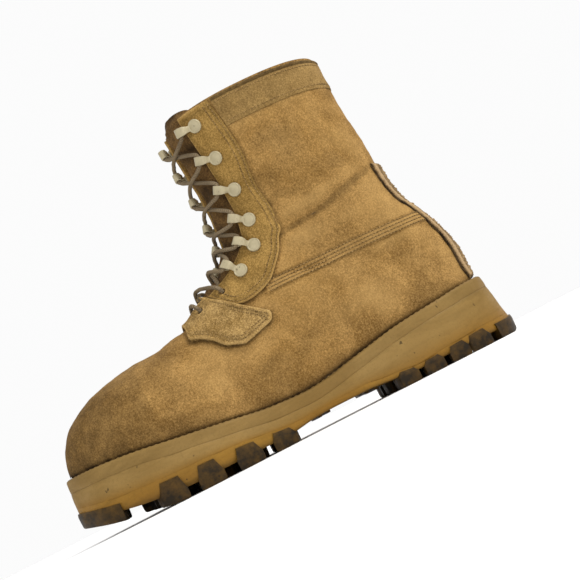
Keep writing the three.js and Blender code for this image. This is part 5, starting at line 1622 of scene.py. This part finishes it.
def curve_through(points, steps=10):
    """Centripetal curve through points in space."""
    padded = np.vstack([2 * points[0] - points[1], points, 2 * points[-1] - points[-2]])
    out = []
    for p0, p1, p2, p3 in zip(padded[:-3], padded[1:-2], padded[2:-1], padded[3:]):
        t0 = 0.0
        t1 = t0 + np.linalg.norm(p1 - p0) ** 0.5
        t2 = t1 + np.linalg.norm(p2 - p1) ** 0.5
        t3 = t2 + np.linalg.norm(p3 - p2) ** 0.5
        for t in np.linspace(t1, t2, steps, endpoint=False):
            a1 = (t1 - t) / (t1 - t0) * p0 + (t - t0) / (t1 - t0) * p1
            a2 = (t2 - t) / (t2 - t1) * p1 + (t - t1) / (t2 - t1) * p2
            a3 = (t3 - t) / (t3 - t2) * p2 + (t - t2) / (t3 - t2) * p3
            b1 = (t2 - t) / (t2 - t0) * a1 + (t - t0) / (t2 - t0) * a2
            b2 = (t3 - t) / (t3 - t1) * a2 + (t - t1) / (t3 - t1) * a3
            out.append((t2 - t) / (t2 - t1) * b1 + (t - t1) / (t2 - t1) * b2)
    out.append(points[-1])
    return np.array(out)


def tube(pile, line, radius, sides=12, twist=0.5):
    """Round cord along a line, with a frame carried along it and a braided surface."""
    along = np.gradient(line, axis=0)
    along /= np.linalg.norm(along, axis=1)[:, None]
    side = np.cross(along[0], [0.0, 0.0, 1.0])
    side /= np.linalg.norm(side)
    rings = []
    for k, (place, ahead) in enumerate(zip(line, along)):
        side = side - ahead * (side @ ahead)
        side /= np.linalg.norm(side)
        other = np.cross(ahead, side)
        turns = np.linspace(0, 2 * np.pi, sides, endpoint=False)
        braid = 1 + 0.06 * np.sin(3 * turns + twist * k) + 0.04 * np.sin(3 * turns - twist * k)
        end = min(k, len(line) - 1 - k)
        size = radius * braid * math.sqrt(min(1, 0.35 + 0.25 * end))
        rings.append(place + side * (np.cos(turns) * size)[:, None] + other * (np.sin(turns) * size)[:, None])
    pile.add(np.vstack(rings), grid_faces(len(rings), sides, wrap=True))
    first = pile.count - len(rings) * sides
    pile.faces.append(tuple(range(first + sides - 1, first - 1, -1)))
    last = pile.count - sides
    pile.faces.append(tuple(range(last, last + sides)))


def make_lace():
    pile = Pile()
    for first_side in (1, -1):
        line = densify(curve_through(lace_path(first_side)), 0.8)
        tube(pile, line, LACE_DIAMETER / 2 * 0.94)
    pile.piece("lace_cord", CORD, replaced=("lace",), slot="lace_cord")


# Sole

def seam_wave(ring):
    """Gentle waves of the seam between midsole and welt."""
    return 0.22 * lumps(ring * [1, 1, 0], 24, 50)


def make_midsole():
    foot = lambda y: gum_top_at(y) + 0.02
    head = lambda y: welt_foot_at(y) - 0.05

    def at(share):
        return lambda y: lerp(foot(y), head(y), share)

    # Columns: inset, lean, height, mark. Negative marks give the bottom rows the gum's amber colour; the top rows are
    # darker towards the welt, as painted shade under its edge.
    rows = [
        (0.1, 0.18, -0.03, -1.0), (0.0, 0.2, 0.03, -0.95), (-0.05, 0.28, 0.12, -0.7), (-0.2, 0.4, 0.28, -0.3),
        (-0.35, 0.52, 0.5, 0.0), (-0.4, 0.62, 0.68, 0.0), (-0.4, 0.7, 0.82, 0.0), (-0.35, 0.76, 0.93, 0.05),
        (-0.2, 0.8, 1.0, 0.2), (1.3, 0.82, 1.03, 0.4),
    ]
    rings = [sole_ring(inset, lean, at(height)) for inset, lean, height, _ in rows]
    pile = Pile()
    for ring, row in zip(rings, rows):
        ring[:, :2] -= SOLE_NORMALS * (0.14 * lumps(ring, 22, 41))[:, None]
        ring[:, 2] += seam_wave(ring) * ease((row[2] - 0.6) / 0.3)
    count = len(rings[0])
    faces = grid_faces(len(rings), count, wrap=True)
    faces += cap_faces(0, count, True) + cap_faces((len(rings) - 1) * count, count)
    pile.add(np.vstack(rings), faces, np.repeat([row[3] for row in rows], count))
    core = WELT_WIDTH + GAP
    pile.loft([sole_ring(core, 0.8, at(0.5)), sole_ring(core, 1, seat_at)])
    pile.piece("midsole_block", TAN, replaced=("midsole",), slot="midsole_rubber")


def make_welt():
    def at(share):
        return lambda y: lerp(welt_foot_at(y), seat_at(y), share)

    # Columns: inset, lean, height, mark. The marks darken the welt a little all over and more in its grooves, at its
    # foot and on its top under the upper, as painted shade.
    rows = [
        (1.4, 0.82, -0.03, 0.5), (-0.2, 0.82, -0.02, 0.2), (-0.35, 0.83, 0.05, 0.05), (-0.42, 0.85, 0.22, 0.0),
        (-0.45, 0.88, 0.4, 0.0), (-0.42, 0.91, 0.55, 0.0), (-0.36, 0.925, 0.6, 0.08), (-0.42, 0.94, 0.66, 0.0),
        (-0.35, 0.97, 0.84, 0.0), (0.05, 0.99, 0.95, 0.08), (0.8, 1, 1.0, 0.12), (1.6, 1, 1.0, 0.3),
        (2.1, 1, 0.93, 0.8), (2.6, 1, 1.0, 0.8), (WELT_WIDTH, 1, 1.0, 0.9), (WELT_WIDTH, 0.8, 0.0, 0.9),
    ]
    marks = [max(row[3], 0.14) for row in rows]
    rings = [sole_ring(inset, lean, at(height)) for inset, lean, height, _ in rows]
    for ring, row in zip(rings[:11], rows):
        ring[:, :2] -= SOLE_NORMALS * (0.12 * lumps(ring, 18, 42))[:, None]
        ring[:, 2] += seam_wave(ring) * (1 - ease((row[2] - 0.1) / 0.8))
    count = len(rings[0])
    faces = grid_faces(len(rings), count, wrap=True)
    last = (len(rings) - 1) * count
    faces += [(last + j, last + (j + 1) % count, (j + 1) % count, j) for j in range(count)]
    pile = Pile()
    pile.add(np.vstack(rings), faces, np.repeat(marks, count))
    pile.piece("welt_strip", TAN, replaced=("welt",), slot="midsole_rubber")


def outline_gap(points):
    """Signed distance outside the sole's outline, and the way out."""
    spread = np.linalg.norm(points[:, None] - SOLE_POINTS[None], axis=2)
    near = spread.argmin(1)
    normal = SOLE_NORMALS[near]
    return ((points - SOLE_POINTS[near]) * normal).sum(1), normal


def held_inside(points, limit):
    for _ in range(3):
        gap, normal = outline_gap(points)
        points = points - normal * np.maximum(gap - limit, 0)[:, None]
    return points


def outline_inset(loop, distance):
    """Closed outline moved inwards along its normals, with its corners held back."""
    before = np.roll(loop, 1, 0)
    after = np.roll(loop, -1, 0)
    first = loop - before
    second = after - loop
    n1 = np.column_stack([first[:, 1], -first[:, 0]]) / np.maximum(np.linalg.norm(first, axis=1), 1e-9)[:, None]
    n2 = np.column_stack([second[:, 1], -second[:, 0]]) / np.maximum(np.linalg.norm(second, axis=1), 1e-9)[:, None]
    n = n1 + n2
    n /= np.maximum(np.linalg.norm(n, axis=1), 1e-9)[:, None]
    mitre = np.minimum(1 / np.maximum((n * n1).sum(1), 0.3), 1.6)
    return loop - n * (distance * mitre)[:, None]


# Levels of a lug from its root to the floor. Columns: share of the way from the ground to the tread,
# share of the climb up the side, inset, reach outside the outline, length, mark
# The marks darken the lugs with dirt and painted shade.
LUG_LEVELS = [
    (1, 1.05, -0.3, -0.6, 0.6, 0.3),
    (1, 0.96, -0.3, 0.8, 0.62, 0.9),
    (1, 0.45, -0.25, 1.4, 0.8, 0.98),
    (1, 0.0, -0.2, 1.8, 0.98, 1.0),
    (0.35, 0.0, 0.0, 2.0, 1.0, 1.0),
    (0.12, 0.0, 0.15, 1.8, 0.99, 1.0),
    (0.003, 0.0, 0.8, 1.1, 0.95, 0.9),
]


def add_block(pile, loop, climb, at_edge, axis=None):
    """Lug with a drafted, bevelled foot. climb: share of the gum band that its top reaches;
    axis: direction along which it narrows towards its top."""
    area = 0.5 * np.sum(loop[:, 0] * np.roll(loop[:, 1], -1) - np.roll(loop[:, 0], -1) * loop[:, 1])
    if area < 0:
        loop = loop[::-1]
    middle = loop.mean(0)
    rings, marks = [], []
    for tread, rise, inset, reach, length, mark in LUG_LEVELS:
        flat = outline_inset(loop, inset)
        if axis is not None:
            away = (flat - middle) @ axis
            flat = flat + np.outer(away * (length - 1), axis)
        if at_edge:
            flat = held_inside(flat, reach)
        y = flat[:, 1]
        foot = lerp(ground_at(y), tread_at(y), tread)
        rings.append(np.column_stack([flat, foot + (gum_top_at(y) - tread_at(y)) * climb * rise]))
        marks.append(np.full(len(flat), mark))
    count = len(loop)
    faces = grid_faces(len(rings), count, wrap=True)
    faces.append(tuple(range(count)))
    faces.append(tuple(range(len(rings) * count - 1, (len(rings) - 1) * count - 1, -1)))
    pile.add(np.vstack(rings), faces, np.concatenate(marks))


def lug_axis(turn):
    turned = math.radians(turn)
    return np.array([-math.sin(turned), math.cos(turned)])


def lug_loop(kind, along, across, length, width, turn, inset):
    y = y_of(along)
    angle = turn_of(along)
    x = float(outline_centre(angle) + across * (outline_half(angle) - inset))
    corners = np.array(LUG_SHAPES[kind], float) * [width / 2, length / 2]
    if kind == "edge" and across < 0:
        corners = -corners
    turned = math.radians(turn)
    spin = np.array([[math.cos(turned), -math.sin(turned)], [math.sin(turned), math.cos(turned)]])
    return densify(corners @ spin.T + [x, y], 1.3, closed=True)


def end_loop(start, end, width, wave):
    """Outline of the toe plate or heel rim: the sole's end outside a wavy inner line."""
    along = along_of(SOLE_POINTS[:, 1])
    order = np.roll(np.arange(len(along)), OUTLINE_STEPS) if start < 0.5 else np.arange(len(along))
    picked = [k for k in order if start <= along[k] <= end]
    outer = SOLE_POINTS[picked] + SOLE_NORMALS[picked] * LUG_STEP
    ripple = width + wave * np.sin(np.linspace(0, 9 * np.pi, len(picked)))
    inner = SOLE_POINTS[picked] - SOLE_NORMALS[picked] * ripple[:, None]
    good = (inner[:, 1] < y_of(start)) if start > 0.5 else (inner[:, 1] > y_of(end))
    return densify(np.vstack([outer, inner[good][::-1]]), 1.2, closed=True)


def make_outsole():
    pile = Pile()
    count = 2 * OUTLINE_STEPS
    # Side of the gum band: darker towards the tread with dirt and painted shade; negative marks at the top take a tan
    # like the midsole's.
    levels = [
        (1.2, 0, tread_at, 0.45),
        (0.6, 0, lambda y: lerp(tread_at(y), gum_top_at(y), 0.08), 0.5),
        (0.2, 0, lambda y: lerp(tread_at(y), gum_top_at(y), 0.3), 0.12),
        (0.1, 0.06, lambda y: lerp(tread_at(y), gum_top_at(y), 0.6), 0.0),
        (0.05, 0.12, lambda y: lerp(tread_at(y), gum_top_at(y), 0.85), -0.1),
        (0.05, 0.16, lambda y: gum_top_at(y) + 0.02, -0.2),
        (0.3, 0.16, lambda y: gum_top_at(y) + 0.03, -0.2),
    ]
    rings = [sole_ring(inset, lean, height) for inset, lean, height, _ in levels]
    faces = grid_faces(len(rings), count, wrap=True)
    faces += cap_faces(0, count, True) + cap_faces((len(rings) - 1) * count, count)
    pile.add(np.vstack(rings), faces, np.repeat([level[3] for level in levels], count))
    for row in EDGE_LUGS:
        add_block(pile, lug_loop("edge", *row, row[3] / 2), 0.8, True, lug_axis(row[4]))
    for row in CENTRE_LUGS:
        add_block(pile, lug_loop("centre", *row, 0), 0.15, False)
    add_block(pile, end_loop(0.905, 1.01, 22, 1.6), 0.55, True)
    add_block(pile, end_loop(-0.01, 0.075, 12, 1.2), 0.6, True)
    for along in SHANK_BARS:
        loop = lug_loop("bar", along, 0, 3, 40, 0, 0)
        low = np.column_stack([outline_inset(loop, 0.5), tread_at(loop[:, 1]) - SHANK_RISE / 2])
        high = np.column_stack([loop, tread_at(loop[:, 1]) + 0.5])
        bars = grid_faces(2, len(loop), wrap=True) + [tuple(range(len(loop)))]
        # Shank bars darkened with dirt and painted shade under the arch.
        pile.add(np.vstack([low, high]), bars, 0.7)
    piece = pile.piece("outsole_tread", GUM, replaced=("outsole",), slot="gum_rubber")
    piece.data.polygons.foreach_set("use_smooth", [False] * len(piece.data.polygons))
    edges = piece.modifiers.new("edges", "EDGE_SPLIT")
    edges.split_angle = math.radians(32)
    piece.data.polygons.foreach_set("use_smooth", [True] * len(piece.data.polygons))


def make_insole():
    inset = WELT_MARGIN + UPPER_WALL + INSOLE_MARGIN
    rings = [
        sole_ring(inset, 1, lambda y: seat_at(y) + GAP),
        sole_ring(inset, 1, lambda y: seat_at(y) + GAP + INSOLE_THICKNESS - 0.8),
        sole_ring(inset + 0.8, 1, lambda y: seat_at(y) + GAP + INSOLE_THICKNESS),
    ]
    pile = Pile()
    pile.loft(rings)
    pile.piece("insole_bed", LINING, replaced=("insole",), slot="lining")


# Stage

def make_stage():
    mesh = bpy.data.meshes.new("floor")
    size = 3.0
    mesh.from_pydata([(-size, -size, 0), (size, -size, 0), (size, size, 0), (-size, size, 0)], [], [(0, 1, 2, 3)])
    floor = bpy.data.objects.new("floor", mesh)
    bpy.context.scene.collection.objects.link(floor)
    material, tree, shader, place = start_material("floor")
    tone = mix(tree, noise(tree, place, 3, 2, 0.5), colour(250, 250, 250), colour(244, 244, 243))
    tree.links.new(tone, shader.inputs["Base Color"])
    shader.inputs["Roughness"].default_value = 0.8
    mesh.materials.append(material)
    world = bpy.data.worlds.new("studio")
    world.use_nodes = True
    background = world.node_tree.nodes["Background"]
    background.inputs["Color"].default_value = (1, 1, 1, 1)
    background.inputs["Strength"].default_value = 0.97
    bpy.context.scene.world = world
    bpy.context.scene.view_settings.view_transform = "Standard"
    add_light("key", (0.55, 0.85, 1.35), 0.6, 17)
    add_light("fill", (1.3, -0.7, 0.7), 1.2, 2)
    add_light("back", (-1.1, 0.6, 1.4), 1.0, 5)
    add_light("low", (1.2, -0.1, 0.16), 0.3, 1.2)


def add_light(name, place, size, power):
    data = bpy.data.lights.new(name, "AREA")
    data.size = size
    data.energy = power
    lamp = bpy.data.objects.new(name, data)
    lamp.location = place
    aim = Vector((0, 0, 0.1)) - Vector(place)
    lamp.rotation_euler = aim.to_track_quat("-Z", "Y").to_euler()
    bpy.context.scene.collection.objects.link(lamp)


def make_camera():
    data = bpy.data.cameras.new("camera")
    data.lens = CAMERA_LENS
    data.sensor_width = 36
    camera = bpy.data.objects.new("camera", data)
    bpy.context.scene.collection.objects.link(camera)
    azimuth = math.radians(CAMERA_AZIMUTH)
    aim = Vector(CAMERA_AIM)
    rise = CAMERA_HEIGHT - aim.z
    level = math.sqrt(CAMERA_DISTANCE**2 - rise**2)
    camera.location = Vector((math.sin(azimuth) * level, -math.cos(azimuth) * level, CAMERA_HEIGHT))
    look = (aim - camera.location).to_track_quat("-Z", "Y").to_matrix().to_4x4()
    roll = Matrix.Rotation(math.radians(CAMERA_ROLL), 4, "Z")
    camera.matrix_world = Matrix.Translation(camera.location) @ look @ roll
    data.clip_start = 0.01
    bpy.context.scene.camera = camera


make_camera()
make_upper()
facing_lines = make_facings()
make_band()
make_backstay()
make_stitches(facing_lines)
make_tongue()
make_hooks()
make_lace()
make_midsole()
make_welt()
make_outsole()
make_insole()
make_stage()
